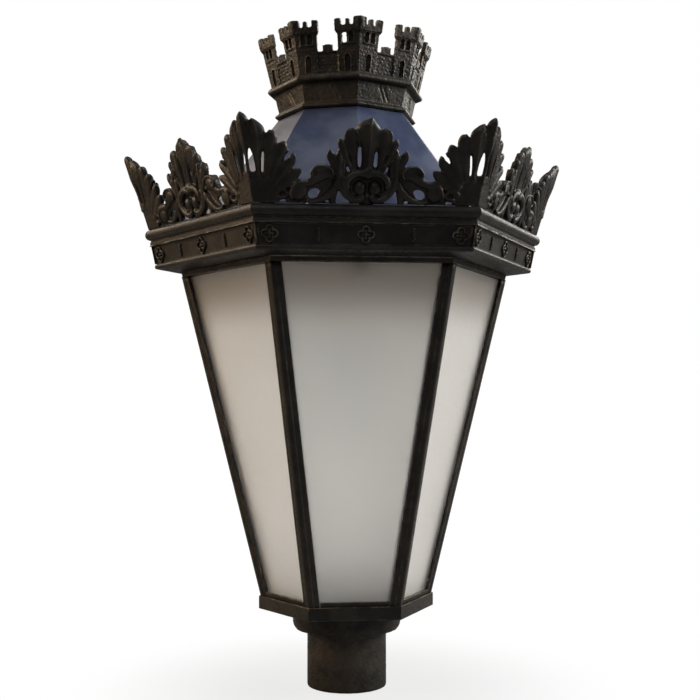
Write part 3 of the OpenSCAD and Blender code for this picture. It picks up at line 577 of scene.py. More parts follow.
@dataclass
class Effects:
    """The surface effects that several finishes share."""

    samples: int = 4
    cloud_scale: float = 28.0
    cloud_span: Point2 = (0.35, 0.68)
    speckle_scale: float = 420.0
    speckle_span: Point2 = (0.3, 0.7)
    speckle_share: float = 0.6
    pit_spread: float = 0.6
    pit_reach: float = 0.45
    pit_share: float = 0.4
    # Painted shade: ambient occlusion darkens the hollows, within this reach and span.
    painted_shade_reach: float = 0.008
    painted_shade_span: Point2 = (0.75, 0.25)
    # Rubbed edges, widened to paint glints, and weaker on edges that face down as painted shade.
    worn_and_glint_edge: float = 0.002
    worn_and_glint_bend: Point2 = (0.004, 0.12)
    worn_and_glint_open: Point2 = (0.55, 0.9)
    worn_and_glint_turned: Point2 = (-0.9, -0.2)
    worn_and_glint_below: float = 0.12
    patch_scale: float = 60.0
    patch_span: Point2 = (0.42, 0.64)
    patch_least: float = 0.1
    # Dust and painted sheen on faces that look up.
    dust_and_sheen_span: Point2 = (0.25, 0.9)

    def __post_init__(self) -> None:
        """Builds the groups once."""
        self.grain = self._cast_grain()
        self.wear = self._wear_and_painted_light()

    def _cast_grain(self) -> Tree:
        """Clouds, speckles and pits of a sand-cast skin.

        Returns:
            The group.
        """
        graph, given, out = new_group("cast_grain", {"Place": None, "Size": 1.0},
                                      ["Clouds", "Speckle", "Height"])
        place = given.outputs["Place"]
        coarse = graph.math("DIVIDE", self.cloud_scale, given.outputs["Size"])
        fine = graph.math("DIVIDE", self.speckle_scale, given.outputs["Size"])
        clouds = graph.noise(place, coarse, 5.0, 0.6)
        speckle = graph.noise(place, fine, 3.0, 0.7)
        spread_out = graph.times(fine, self.pit_spread)
        pits = graph.node("ShaderNodeTexVoronoi", {"Vector": place, "Scale": spread_out})
        hollow = graph.fade(pits.outputs["Distance"], 0.0, self.pit_reach)
        height = graph.math("ADD", graph.times(speckle, self.speckle_share),
                            graph.times(hollow, self.pit_share))
        graph.link(graph.fade(clouds, *self.cloud_span), out, "Clouds")
        graph.link(graph.fade(speckle, *self.speckle_span), out, "Speckle")
        graph.link(height, out, "Height")
        return graph.tree

    def _wear_and_painted_light(self) -> Tree:
        """Worn edges with painted glints, painted shade in hollows, and dust with painted sheen on tops.

        Returns:
            The group.
        """
        inputs = {"Place": None, "Radius": self.worn_and_glint_edge, "Patches": self.patch_scale}
        graph, given, out = new_group("edge_wear", inputs, ["Edge", "Cavity", "Dust"])
        bevel = graph.node("ShaderNodeBevel", {"Radius": given.outputs["Radius"]}, samples=self.samples)
        normal = graph.node("ShaderNodeNewGeometry").outputs["Normal"]
        dot = graph.vector("DOT_PRODUCT", "Value", {0: bevel.outputs[0], 1: normal})
        bend = graph.fade(graph.math("SUBTRACT", 1.0, dot), *self.worn_and_glint_bend)
        # Painted shade: ambient occlusion marks the hollows that the finishes darken.
        hidden = graph.node("ShaderNodeAmbientOcclusion", {"Distance": self.painted_shade_reach},
                            samples=self.samples, only_local=True)
        shade = hidden.outputs["AO"]
        patches = graph.noise(given.outputs["Place"], given.outputs["Patches"], 4.0, 0.65)
        # Faces that look up get dust and a painted sheen, lighter as if lit from above.
        upward = graph.height(graph.place("Normal"))
        # Rubbed edges, partly painted glints; weaker on edges that face down, as painted shade.
        rubbed_and_glint = graph.times(bend, graph.fade(shade, *self.worn_and_glint_open))
        rubbed_and_glint = graph.times(rubbed_and_glint, graph.fade(upward, *self.worn_and_glint_turned, self.worn_and_glint_below))
        patchy = graph.fade(patches, *self.patch_span, self.patch_least)
        graph.link(graph.times(rubbed_and_glint, patchy), out, "Edge")
        # Painted shade in the hollows, from ambient occlusion.
        graph.link(graph.fade(shade, *self.painted_shade_span), out, "Cavity")
        # Dust and painted sheen on faces that look up.
        graph.link(graph.times(graph.fade(upward, *self.dust_and_sheen_span), patches), out, "Dust")
        return graph.tree


class Coat:
    """One material in the making: its graph, its shader and the shared effects."""

    def __init__(self, name: str, effects: Effects) -> None:
        """Starts a material with a Principled shader.

        Args:
            name: Name of the material.
            effects: The shared surface effects.
        """
        self.material = bpy.data.materials.new(name)
        self.material.use_nodes = True
        self.effects = effects
        self.graph = Graph(self.material.node_tree)
        self.shader = self.material.node_tree.nodes["Principled BSDF"]

    def grain(self, place: Socket, size: float) -> Node:
        """The grain of a casting; a greater size is coarser."""
        inputs = {"Place": place, "Size": size}
        return self.graph.node("ShaderNodeGroup", inputs, node_tree=self.effects.grain)

    def wear(self, place: Socket) -> Node:
        """The wear of the edges with painted glints, painted shade in hollows, and dust with painted sheen.
        """
        return self.graph.node("ShaderNodeGroup", {"Place": place}, node_tree=self.effects.wear)

    def lay(self, values: dict[str, Value]) -> None:
        """Gives the shader its sockets or plain values, by name.

        Args:
            values: Sockets or plain values, by the name of the shader's socket.
        """
        for name, value in values.items():
            if isinstance(value, Socket):
                self.graph.link(value, self.shader, name)
            else:
                self.shader.inputs[name].default_value = value

    def bump(self, skin: Node, strength: float, distance: float) -> None:
        """Roughens the shader's normal by the height of a grain."""
        inputs = {"Strength": strength, "Distance": distance, "Height": skin.outputs["Height"]}
        self.graph.link(self.graph.node("ShaderNodeBump", inputs).outputs["Normal"], self.shader, "Normal")


@dataclass(frozen=True)
class Finish:
    """A named finish."""

    name: str

    def material(self, effects: Effects) -> Material:
        """Builds the finish's material.

        Args:
            effects: The shared surface effects.

        Returns:
            The material.
        """
        coat = Coat(self.name, effects)
        self.paint(coat)
        return coat.material

    def paint(self, coat: Coat) -> None:
        """Lays the finish on the material."""
        raise NotImplementedError


@dataclass(frozen=True)
class CastMetal(Finish):
    """Sand-cast metal with a black bronze patina, rubbed golden at its edges, with painted glints there."""

    name: str = "cast_metal"
    deep: Colour = (0.005, 0.0045, 0.004)
    patina: Colour = (0.027, 0.0218, 0.0168)
    # Golden rubbed edges, partly real wear and partly painted glints.
    rubbed_and_glint: Colour = (0.42, 0.34, 0.24)
    # Grey of dust and of a painted sheen on faces that look up.
    dust_and_sheen: Colour = (0.10, 0.095, 0.088)
    # Painted shade: a near-black colour laid in the hollows.
    painted_shade: Colour = (0.004, 0.0035, 0.003)
    dust_and_sheen_share: float = 0.3
    painted_shade_share: float = 0.8
    bare: float = 0.6
    smooth: float = 0.34
    rough: float = 0.6
    grain: float = 1.0
    relief: float = 0.5
    depth: float = 0.0006
    shine: float = 0.42

    def paint(self, coat: Coat) -> None:
        """Lays patina, dust and painted sheen, painted shade, and worn edges with painted glints.

        Args:
            coat: The material in the making.
        """
        graph = coat.graph
        place = graph.own_place()
        skin, wear = coat.grain(place, self.grain), coat.wear(place)
        colour = graph.mix(skin.outputs["Clouds"], self.deep, self.patina)
        # Dust and painted sheen lighten the faces that look up.
        colour = graph.mix(graph.times(wear.outputs["Dust"], self.dust_and_sheen_share), colour, self.dust_and_sheen)
        # Painted shade: the hollows darken towards the near-black colour.
        colour = graph.mix(graph.times(wear.outputs["Cavity"], self.painted_shade_share), colour, self.painted_shade)
        # Worn edges, partly real wear and partly painted glints.
        edge = graph.times(wear.outputs["Edge"], graph.between(skin.outputs["Speckle"], 0.45, 1.0))
        coat.lay({"Base Color": graph.mix(edge, colour, self.rubbed_and_glint),
                  "Roughness": graph.between(skin.outputs["Speckle"], self.smooth, self.rough),
                  "Metallic": graph.times(edge, self.bare), "Specular IOR Level": self.shine})
        coat.bump(skin, self.relief, self.depth)


@dataclass(frozen=True)
class Painted(Finish):
    """Paint or enamel on sheet, with faint clouds and a worn edge."""

    colour: Colour
    second: Colour
    edge: Colour
    gloss: float
    wear: float
    relief: float = 0.15
    depth: float = 0.0004
    duller: float = 0.14
    grain: float = 1.6

    def paint(self, coat: Coat) -> None:
        """Lays the two tones and the worn edge.

        Args:
            coat: The material in the making.
        """
        graph = coat.graph
        place = graph.own_place()
        skin, worn = coat.grain(place, self.grain), coat.wear(place)
        clouds = skin.outputs["Clouds"]
        colour = graph.mix(clouds, self.colour, self.second)
        coat.lay({"Base Color": graph.mix(graph.times(worn.outputs["Edge"], self.wear), colour, self.edge),
                  "Roughness": graph.between(clouds, self.gloss, self.gloss + self.duller)})
        coat.bump(skin, self.relief, self.depth)


@dataclass(frozen=True)
class BareMetal(Finish):
    """Plated or drawn metal with fine lines and dull patches."""

    bright: Colour
    dull: Colour
    gloss: float
    duller: float = 0.2
    grain: float = 0.5
    relief: float = 0.12
    depth: float = 0.0002

    def paint(self, coat: Coat) -> None:
        """Lays the bright and the dull patches.

        Args:
            coat: The material in the making.
        """
        graph = coat.graph
        skin = coat.grain(graph.own_place(), self.grain)
        speckle = skin.outputs["Speckle"]
        coat.lay({"Base Color": graph.mix(skin.outputs["Clouds"], self.bright, self.dull), "Metallic": 1.0,
                  "Roughness": graph.between(speckle, self.gloss, self.gloss + self.duller)})
        coat.bump(skin, self.relief, self.depth)


@dataclass(frozen=True)
class FrostedGlass(Finish):
    """Acid-frosted glass that spreads the light behind it, darker towards its head by painted shade.

    The heights of its tones are in metres.
    """

    name: str = "frosted_glass"
    # Painted shade: the tones darken from a light foot to a dark head, most near the top, as under the
    # hood.
    foot: Colour = (0.88, 0.87, 0.85)
    head: Colour = (0.84, 0.83, 0.81)
    shade_tint: Colour = (0.46, 0.43, 0.395)
    cloud: Colour = (0.6, 0.57, 0.52)
    cloudy: float = 0.06
    gloss: float = 0.55
    duller: float = 0.1
    bottom: float = 0.1057
    shade_start: float = 0.405
    top: float = 0.4687
    through: float = 0.87
    bend: float = 1.45
    grain: float = 2.5
    relief: float = 0.08
    depth: float = 0.0003

    def paint(self, coat: Coat) -> None:
        """Lays the tint from the foot to the head, darkened by painted shade towards the head.

        Args:
            coat: The material in the making.
        """
        graph = coat.graph
        place = graph.place()
        skin, height = coat.grain(place, self.grain), graph.height(place)
        speckle = skin.outputs["Speckle"]
        # Painted shade: the tint darkens from the foot upwards, then towards the darkest tone at the head.
        tint = graph.mix(graph.fade(height, self.bottom, self.shade_start), self.foot, self.head)
        tint = graph.mix(graph.fade(height, self.shade_start, self.top), tint, self.shade_tint)
        tint = graph.mix(graph.times(skin.outputs["Clouds"], self.cloudy), tint, self.cloud)
        coat.lay({"Base Color": tint,
                  "Roughness": graph.between(speckle, self.gloss, self.gloss + self.duller),
                  "Transmission Weight": self.through, "IOR": self.bend})
        coat.bump(skin, self.relief, self.depth)


@dataclass(frozen=True)
class ClearGlass(Finish):
    """Clear tubular glass of the lamp, faintly tinted."""

    name: str = "clear_glass"
    colour: Colour = (0.93, 0.95, 0.96)
    second: Colour = (0.9, 0.93, 0.95)
    smooth: float = 0.03
    rough: float = 0.08
    bend: float = 1.47

    def paint(self, coat: Coat) -> None:
        """Lays the tint.

        Args:
            coat: The material in the making.
        """
        graph = coat.graph
        skin = coat.grain(graph.own_place(), 1.0)
        coat.lay({"Base Color": graph.mix(skin.outputs["Clouds"], self.colour, self.second),
                  "Roughness": graph.between(skin.outputs["Speckle"], self.smooth, self.rough),
                  "Transmission Weight": 1.0, "IOR": self.bend})


# Assembling


@dataclass
class Workshop:
    """Dresses pieces and hangs them on their bodies."""

    effects: Effects

    def __post_init__(self) -> None:
        """Starts with no materials."""
        self.made: dict[str, Material] = {}

    def finish(self, finish: Finish) -> Material:
        """The material of a finish, built once.

        Args:
            finish: The finish.

        Returns:
            The material.
        """
        if finish.name not in self.made:
            self.made[finish.name] = finish.material(self.effects)
        return self.made[finish.name]

    def dress(self, piece: Piece, finish: Finish, body: Body, slot: str, *nodes: str) -> None:
        """Gives a piece its finish, its body and the nodes that it stands for.

        Args:
            piece: The object.
            finish: Its finish.
            body: The body that it moves with.
            slot: The record's slot of its finish; not used.
            *nodes: CAD nodes that it stands for.
        """
        piece.data.materials.clear()
        piece.data.materials.append(self.finish(finish))
        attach(piece, body.value)
        if nodes:
            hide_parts(*nodes)
        log.info("%s: %d faces on %s", piece.name, len(piece.data.polygons), body.value)

    def keep(self, finish: Finish, *nodes: str) -> None:
        """Gives CAD nodes that stay a better material.

        Args:
            finish: Their finish.
            *nodes: Names of the nodes.
        """
        for node in nodes:
            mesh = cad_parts[node].data
            mesh.materials.clear()
            mesh.materials.append(self.finish(finish))
            log.info("%s: kept from the CAD", node)


CAST = CastMetal()
CAST_ROUGH = CastMetal("cast_rough", patina=(0.050, 0.040, 0.029), rubbed_and_glint=(0.42, 0.34, 0.23), grain=1.3,
                       relief=1.0, shine=0.4)
ROOF = Painted("roof_paint", (0.040, 0.056, 0.120), (0.088, 0.108, 0.178), (0.34, 0.36, 0.40),
               gloss=0.3, wear=0.8, relief=0.25)
ENAMEL = Painted("white_enamel", (0.72, 0.70, 0.66), (0.66, 0.64, 0.60), (0.4, 0.38, 0.35),
                gloss=0.3, wear=0.4)
PORCELAIN = Painted("porcelain", (0.80, 0.78, 0.73), (0.75, 0.73, 0.68), (0.7, 0.68, 0.62),
                    gloss=0.12, wear=0.2, relief=0.05)
GEAR_CASE = Painted("gear_case", (0.10, 0.11, 0.12), (0.14, 0.15, 0.16), (0.35, 0.35, 0.35),
                   gloss=0.4, wear=0.7)
GEAR_PLASTIC = Painted("gear_plastic", (0.62, 0.60, 0.55), (0.56, 0.54, 0.50), (0.6, 0.58, 0.54),
                       gloss=0.45, wear=0.2)
NYLON = Painted("black_nylon", (0.010, 0.010, 0.011), (0.018, 0.018, 0.019), (0.05, 0.05, 0.05),
                gloss=0.45, wear=0.3)
CERAMIC = Painted("arc_ceramic", (0.86, 0.83, 0.76), (0.80, 0.77, 0.70), (0.8, 0.78, 0.72),
                 gloss=0.3, wear=0.1)
ZINC = BareMetal("zinc_steel", (0.60, 0.60, 0.59), (0.36, 0.35, 0.34), gloss=0.32)
BRASS = BareMetal("lamp_brass", (0.72, 0.54, 0.26), (0.50, 0.36, 0.17), gloss=0.28)
FROSTED = FrostedGlass()
CLEAR = ClearGlass()


@dataclass(frozen=True)
class SoftBox:
    """A square lamp."""

    name: str
    place: Point3
    size: float
    power: float
    colour: Colour

    def hang(self, aim: Vector) -> None:
        """Adds the lamp to the scene, pointed at its aim.

        Args:
            aim: The point that it lights, in metres.
        """
        data = bpy.data.lights.new(self.name, "AREA")
        data.size = self.size
        data.energy = self.power
        data.color = self.colour
        made = bpy.data.objects.new(self.name, data)
        made.location = self.place
        made.rotation_mode = "QUATERNION"
        made.rotation_quaternion = (aim - Vector(self.place)).to_track_quat("-Z", "Y")
        bpy.context.scene.collection.objects.link(made)


LAMPS = (
    SoftBox("left_box", (-2.4, 0.05, 1.25), 1.0, 35, (1.0, 0.72, 0.45)),
    SoftBox("right_box", (2.35, -0.25, 1.35), 1.0, 54, (1.0, 0.965, 0.90)),
    SoftBox("front_box", (-0.6, -3.2, 2.6), 0.9, 16, (0.95, 0.96, 1.0)),
    SoftBox("top_box", (0.1, -0.5, 3.0), 0.8, 18, (0.90, 0.94, 1.0)),
    SoftBox("rim_left", (-1.7, 1.5, 1.9), 1.2, 18, (1.0, 0.86, 0.70)),
    SoftBox("rim_right", (1.8, 1.6, 1.8), 1.6, 38, (1.0, 0.97, 0.92)),
)


@dataclass
class Studio:
    """Camera, floor, backdrop and light; in metres and degrees."""

    camera_at: Point3 = (-0.14125, -1.35227, 0.33378)
    turn: float = 6.15
    tilt: float = 2.51
    roll: float = -0.086
    lens: float = 58.77
    sensor: float = 36
    aim: Point3 = (0, 0, 0.45)
    level: float = 0.06
    floor_half: float = 7.0
    floor_grey: float = 0.23
    floor_rough: float = 0.9
    shadow_near: float = 0.08
    shadow_far: float = 0.34
    shadow_share: float = 0.8

    def camera(self) -> None:
        """Sets up the camera of the photograph."""
        data = bpy.data.cameras.new("camera")
        data.sensor_width = self.sensor
        data.lens = self.lens
        made = bpy.data.objects.new("camera", data)
        upward = Matrix.Rotation(math.radians(90 + self.tilt), 4, "X")
        made.matrix_world = (Matrix.Translation(self.camera_at) @ about_axis(-self.turn) @ upward
                             @ about_axis(self.roll))
        bpy.context.scene.collection.objects.link(made)
        bpy.context.scene.camera = made

    def seen(self, graph: Graph) -> Socket:
        """One where the camera or a glass looks, and else nought."""
        path = graph.node("ShaderNodeLightPath")
        return graph.math("MAXIMUM", path.outputs["Is Camera Ray"], path.outputs["Is Transmission Ray"])

    def world(self) -> None:
        """A white backdrop that lights the lantern with a plain, low level."""
        world = bpy.data.worlds.new("backdrop")
        world.use_nodes = True
        bpy.context.scene.world = world
        graph = Graph(world.node_tree)
        background = world.node_tree.nodes["Background"]
        background.inputs["Color"].default_value = (1, 1, 1, 1)
        graph.link(graph.between(self.seen(graph), self.level, 1.0), background, "Strength")

    def floor(self) -> None:
        """A plain pale floor that keeps a faint shadow near the foot."""
        half = self.floor_half / MM
        piece = Shape().box(Vector((-half, -half, -3)), Vector((half, half, -0.3))).piece("floor")
        material = bpy.data.materials.new("floor")
        material.use_nodes = True
        graph = Graph(material.node_tree)
        shader = material.node_tree.nodes["Principled BSDF"]
        shader.inputs["Base Color"].default_value = (*[self.floor_grey] * 3, 1)
        shader.inputs["Roughness"].default_value = self.floor_rough
        white = graph.node("ShaderNodeEmission", {"Color": (1, 1, 1, 1), "Strength": 1.0})
        away = graph.vector("LENGTH", "Value", {0: graph.place()})
        faint = graph.fade(away, self.shadow_near, self.shadow_far, self.shadow_share, 1.0)
        share = graph.times(self.seen(graph), faint)
        mixed = graph.node("ShaderNodeMixShader", {0: share, 1: shader.outputs[0], 2: white.outputs[0]})
        graph.link(mixed.outputs[0], material.node_tree.nodes["Material Output"], "Surface")
        piece.data.materials.append(material)

    def build(self) -> None:
        """Sets up the whole studio."""
        bpy.context.scene.view_settings.view_transform = "Standard"
        self.camera()
        self.world()
        self.floor()
        for lamp in LAMPS:
            lamp.hang(Vector(self.aim))


# The lantern


def face_matrix(turn: float, apothem: float, height: float, lean: float) -> Matrix:
    """Where a face's own plane lies: x along it, y up its slope, z outwards.

    Args:
        turn: How far the face is turned from the front, in degrees.
        apothem: Distance of its foot from the axis.
        height: Height of its foot.
        lean: Its outward lean in degrees.

    Returns:
        The matrix, in millimetres.
    """
    upright = Matrix.Rotation(math.radians(90 + lean), 4, "X")
    return about_axis(turn) @ Matrix.Translation((0, -apothem, height)) @ upright


def leaning(corner_lean: float, flat: float) -> float:
    """Lean of a face in degrees, from its corners' lean and the polygon's flat share."""
    return math.degrees(math.atan(math.tan(math.radians(corner_lean)) * flat))


@dataclass
class Part:
    """A sub-assembly that one workshop dresses; its lengths are in millimetres."""

    shop: Workshop

    def build(self) -> None:
        """Builds and dresses the pieces."""
        raise NotImplementedError

    def cast(self, piece: Piece, finish: CastMetal, body: Body, node: str) -> None:
        """Dresses a casting that stands for one CAD node."""
        self.shop.dress(piece, finish, body, "cast_metal", node)


@dataclass
class PostSleeve(Part):
    """Sleeve and cup that stand on the post."""

    sleeve_r: float = 46.5
    sleeve_h: float = 63.0
    bore_r: float = 39.0
    bore_h: float = 75.0
    wire_r: float = 18.0
    cup_r: float = 63.5
    top: float = 90.4
    lip: float = 2.0
    fillet: float = 3.0
    belly: float = 0.75
    rise: float = 49.0
    segments: int = 220

    def profile(self) -> list[Point2]:
        """The section of the casting, from the bore round the outside.

        Returns:
            Points as (radius, height).
        """
        r, high = self.sleeve_r, self.sleeve_h
        curve = self.cup_r - r - self.fillet
        band = high + self.fillet + curve * self.belly
        points = [(self.bore_r, 0.0), (r - self.lip, 0.0), (r - 0.6, 0.6), (r, self.lip), (r, high - 1),
                  (r + 1.2, high), (r + 1.8, high + self.fillet)]
        for degrees in spread(8, -self.rise, self.rise)[1:]:
            angle = math.radians(degrees)
            points.append((self.cup_r - curve + curve * math.cos(angle), band + curve * math.sin(angle)))
        points += [(self.cup_r, self.top - 1), (self.cup_r - 1, self.top), (self.wire_r, self.top),
                   (self.wire_r, self.bore_h), (self.bore_r, self.bore_h)]
        return dense(points, 1.8)

    def build(self) -> None:
        """Builds and dresses the sleeve."""
        section = self.profile()
        angles = [2 * math.pi * k / self.segments for k in range(self.segments)]
        shape = Shape().loft([[polar(r, a, z) for r, z in section] for a in angles], wrap=True)
        piece = shape.piece("post_sleeve")
        self.cast(hammered(piece, depth=0.45, grain=5.0), CAST_ROUGH, Body.CAGE, "base_casting")


@dataclass
class Cage(Part):
    """Base tray, corner bars, rails, panes and top frame."""

    foot_r: float = 100.3
    head_r: float = 195.0
    tray_low: float = 90.4
    tray_floor: float = 5.0
    foot: float = 105.7
    head: float = 484.3
    frame_t: float = 5.6
    tray_r: float = 103.3
    tray_wall: float = 1.6
    hole_r: float = 9.0
    leg: float = 11.5
    thick: float = 4.0
    web: float = 9.0
    web_t: float = 3.0
    rib_w: float = 5.0
    rib_h: float = 1.1
    boss_r: float = 4.0
    boss_h: float = 10.0
    boss_in: float = 14.0

    @property
    def lean(self) -> float:
        """Lean of a corner bar, in radians."""
        return math.atan((self.head_r - self.foot_r) / (self.head - self.foot))

    def radius(self, height: float) -> float:
        """Corner radius of the cage at a height."""
        return self.foot_r + (height - self.foot) * math.tan(self.lean)

    def tray(self) -> None:
        """The dish that carries the cage."""
        r, inner, hole = self.tray_r, self.tray_r - self.tray_wall, self.hole_r
        low, floor, high = self.tray_low, self.tray_low + self.tray_floor, self.foot
        profile = [(hole, low), (r, low), (r, high), (inner, high), (inner, floor), (hole, floor)]
        piece = polygon_ring(dense(rounded(profile, 0.9, 2), 4.0), 6, spread(30)).piece("base_dish")
        piece = hammered(bevelled(piece, width=0.7), depth=0.25, grain=9.0)
        self.cast(piece, CAST, Body.CAGE, "base_tray")

    def bar_section(self) -> list[Point2]:
        """Section of a corner bar: two legs, a web inside and a rib outside.

        Returns:
            Points as (outwards, sideways).
        """
        flat = math.atan((self.head_r - self.foot_r) * HEX_FLAT / (self.head - self.foot))
        steeper = math.sqrt(1 + math.tan(flat) ** 2)
        half = math.asin(HEX_FLAT * math.sqrt(1 + math.tan(self.lean) ** 2) / steeper)
        cos, sin = math.cos(half), math.sin(half)

        def at(along: float, deep: float) -> Point2:
            """A point along a leg and below its outer face."""
            return (-along * cos - deep * sin, along * sin - deep * cos)

        inner = -self.thick / sin
        right = [(self.rib_h * 0.9, 0.9), at(self.rib_w, -self.rib_h), at(self.rib_w + 0.5, 0),
                 at(self.leg, 0), at(self.leg, self.thick), (inner - 0.6, self.web_t / 2),
                 (inner - self.web, self.web_t / 2)]
        return right + [(x, -y) for x, y in reversed(right)]

    def bars(self) -> None:
        """The six corner bars, each with the boss of its frame screw."""
        section = rounded(self.bar_section(), 0.8, 2)
        low, high = self.tray_low + self.tray_floor, self.head - self.frame_t
        axis = Vector((math.sin(self.lean), 0, math.cos(self.lean)))
        across = Vector((math.cos(self.lean), 0, -math.sin(self.lean)))
        boss_low = high - self.boss_h
        boss = Vector((self.radius(boss_low) - self.boss_in, 0, boss_low))
        circle = [boss + polar(self.boss_r, a * math.pi / 12) for a in range(24)]
        top = [p + Vector((0, 0, self.boss_h)) for p in circle]
        for k in range(6):
            turn = about_axis(60 * k - 60)
            rings = []
            for z in spread(60, low, high - low):
                ring = []
                for x, y in section:
                    start = Vector((self.radius(low), 0, low)) + across * x + Vector((0, y, 0))
                    ring.append(turn @ (start + axis * ((z - start.z) / axis.z)))
                rings.append(ring)
            shape = Shape().loft(rings).loft([[turn @ p for p in circle], [turn @ p for p in top]])
            piece = hammered(shape.piece(f"corner_bar_{k + 1}"), depth=0.22, grain=7.0, seed=k)
            self.cast(piece, CAST, Body.CAGE, f"mullion_{k + 1}")

    def build(self) -> None:
        """Builds and dresses the cage."""
        self.tray()
        self.bars()
        self.shop.keep(CAST, "bottom_rails", "glazing_beads", "top_frame", "hinge_frame_leaf")
        self.shop.keep(FROSTED, *[f"pane_{k}" for k in range(1, 7)])
        self.shop.keep(ZINC, "set_screws", "tray_bolts", "frame_screws", "frame_leaf_screws", "hinge_pin",
                       "catch_spring")
        self.shop.keep(NYLON, "cable_gland")


@dataclass
class Frieze(Part):
    """The band round the foot of the hood, with rosettes and spindle bars in its panels."""

    corner_r: float = 222.5
    inner_r: float = 191.0
    low: float = 484.7
    high: float = 533.6
    lip: float = 5.0
    nosing_r: float = 3.05
    torus_r: float = 6.45
    panel_h: float = 20.5
    panel_out: float = 4.5
    panel_half: float = 109.6
    pilaster: float = 2.6
    rosette_r: float = 9.2
    petal_at: float = 0.54
    petal_r: float = 0.39
    petal_t: float = 0.115
    pitch: float = 99.0
    spindle_h: float = 15.0
    pad_half: float = 20.0
    pad_y: float = 183.375
    pad_l: float = 11.0
    pad_z: float = 486.1

    @property
    def panel_low(self) -> float:
        """Height of the panels' foot."""
        return self.high - 2 * self.torus_r - 7 - self.panel_h

    @property
    def panel_lean(self) -> float:
        """Lean of the panels, in degrees."""
        return math.degrees(math.atan(self.panel_out * HEX_FLAT / self.panel_h))

    def profile(self) -> list[Point2]:
        """The section of the band: nosing, panel, ledge and torus, and then back along the inside.

        Returns:
            Points as (radius, height).
        """
        r, foot, high, inner = self.corner_r, self.panel_low, self.high, self.low + self.lip
        out, head, torus = r + self.panel_out, foot + self.panel_h, self.high - 2 * self.torus_r
        points = [(self.inner_r, self.low), *half_round(r + 0.5, foot - 2 * self.nosing_r, foot - 0.2, 8)]
        points += [(r, foot), (r + self.panel_out * 0.5, foot + self.panel_h * 0.5), (out, head)]
        points += [(out + 4.4, head + 0.3), (out + 4.6, head + 4.7), (out + 3.5, torus - 1)]
        points += half_round(out + 4, torus, high, 10)
        points += [(r - 11.5, high), (r - 11.5, high - 5), (out - 2, high - 5), (out - 3.5, head)]
        return points + [(r - 3.5, foot - 1), (r - 12.5, inner), (self.inner_r, inner)]

    def stations(self) -> list[float]:
        """Places along a side, closer where a panel ends.

        Returns:
            The places, from -1 to 1.
        """
        half = self.corner_r / 2
        ends = [half, self.panel_half + 0.9, self.panel_half, self.panel_half - 0.8]
        marks = [-e for e in ends] + spread(42, -104, 208) + ends[::-1]
        return [m / half for m in marks]

    def band(self) -> Piece:
        """The swept band, with a pilaster at each corner.

        Returns:
            The object.
        """
        low, high = self.panel_low - 0.1, self.panel_low + self.panel_h + 0.2

        def with_pilaster(share: float, radius: float, z: float) -> float:
            """Moves a point of the panel outwards where a pilaster stands.

            Args:
                share: Its place along the side, from -1 to 1.
                radius: Its corner radius.
                z: Its height.

            Returns:
                The new radius.
            """
            along = abs(share) * self.corner_r / 2
            if not (low <= z <= high and radius > self.corner_r - 1) or along < self.panel_half - 0.4:
                return radius
            return radius + (self.pilaster + (0.9 if along < self.panel_half + 0.5 else 0.0)) / HEX_FLAT

        shape = polygon_ring(dense(self.profile(), 3.2), 6, self.stations(), with_pilaster)
        pad = Vector((self.pad_half, self.pad_y + self.pad_l, self.low + self.lip))
        shape.box(Vector((-self.pad_half, self.pad_y, self.pad_z)), pad)
        return bevelled(shape.piece("frieze_band"), width=0.6, angle=35)

    def rosette(self) -> Shape:
        """A quatrefoil of raised outlines round a small flower.

        Returns:
            The shape, lying on its face.
        """
        shape = Shape()
        r, points = self.rosette_r, 17
        for k in range(4):
            turn = math.pi / 2 * k
            at = polar(1, turn) * r * self.petal_at
            path = []
            for i in range(points):
                angle = turn + math.radians(-128 + 16 * i)
                path.append(at + polar(1, angle) * r * self.petal_r + Vector((0, 0, 0.7)))
            shape.add(sweep(path, [r * self.petal_t] * points, [1.7] * points, 10))
            shape.add(ball(at * 0.72 + Vector((0, 0, 0.3)), Vector((1.5, 1.5, 1.2)), 6, 10))
        return shape.add(ball(Vector((0, 0, 0.6)), Vector((2.1, 2.1, 2.0)), 7, 12))

    def spindle(self) -> Shape:
        """A slim turned bar with a knob at its middle.

        Returns:
            The shape, lying on its face.
        """
        half = self.spindle_h / 2
        arm = ((0.92, 2.0), (0.75, 1.3), (0.4, 2.3), (0.15, 1.4))
        rows = [(-1, 0.6), *[(-t, w) for t, w in arm], (0, 2.8), *arm[::-1], (1, 0.6)]
        path = [Vector((0, half * t, 0.4)) for t, _ in rows]
        return sweep(path, [w for _, w in rows], [w * 0.9 for _, w in rows], 12)

    def build(self) -> None:
        """Builds and dresses the frieze."""
        self.cast(hammered(self.band(), depth=0.3, grain=8.0), CAST, Body.HOOD, "frieze_ring")
        apothem = (self.corner_r + self.panel_out / 2) * HEX_FLAT
        rosettes, spindles = Shape(), Shape()
        for k in range(6):
            face = face_matrix(60 * k, apothem, self.panel_low + self.panel_h / 2, self.panel_lean)
            for i in (-1, 0, 1):
                rosettes.add(self.rosette(), face @ Matrix.Translation((i * self.pitch, 0, 0)))
            for i in (-0.5, 0.5):
                spindles.add(self.spindle(), face @ Matrix.Translation((i * self.pitch, 0, 0)))
        piece = fused(rosettes.piece("rosettes"), voxel=0.42, smooth=1)
        self.cast(piece, CAST, Body.HOOD, "frieze_rosettes")
        self.cast(spindles.piece("spindles"), CAST, Body.HOOD, "frieze_spindles")


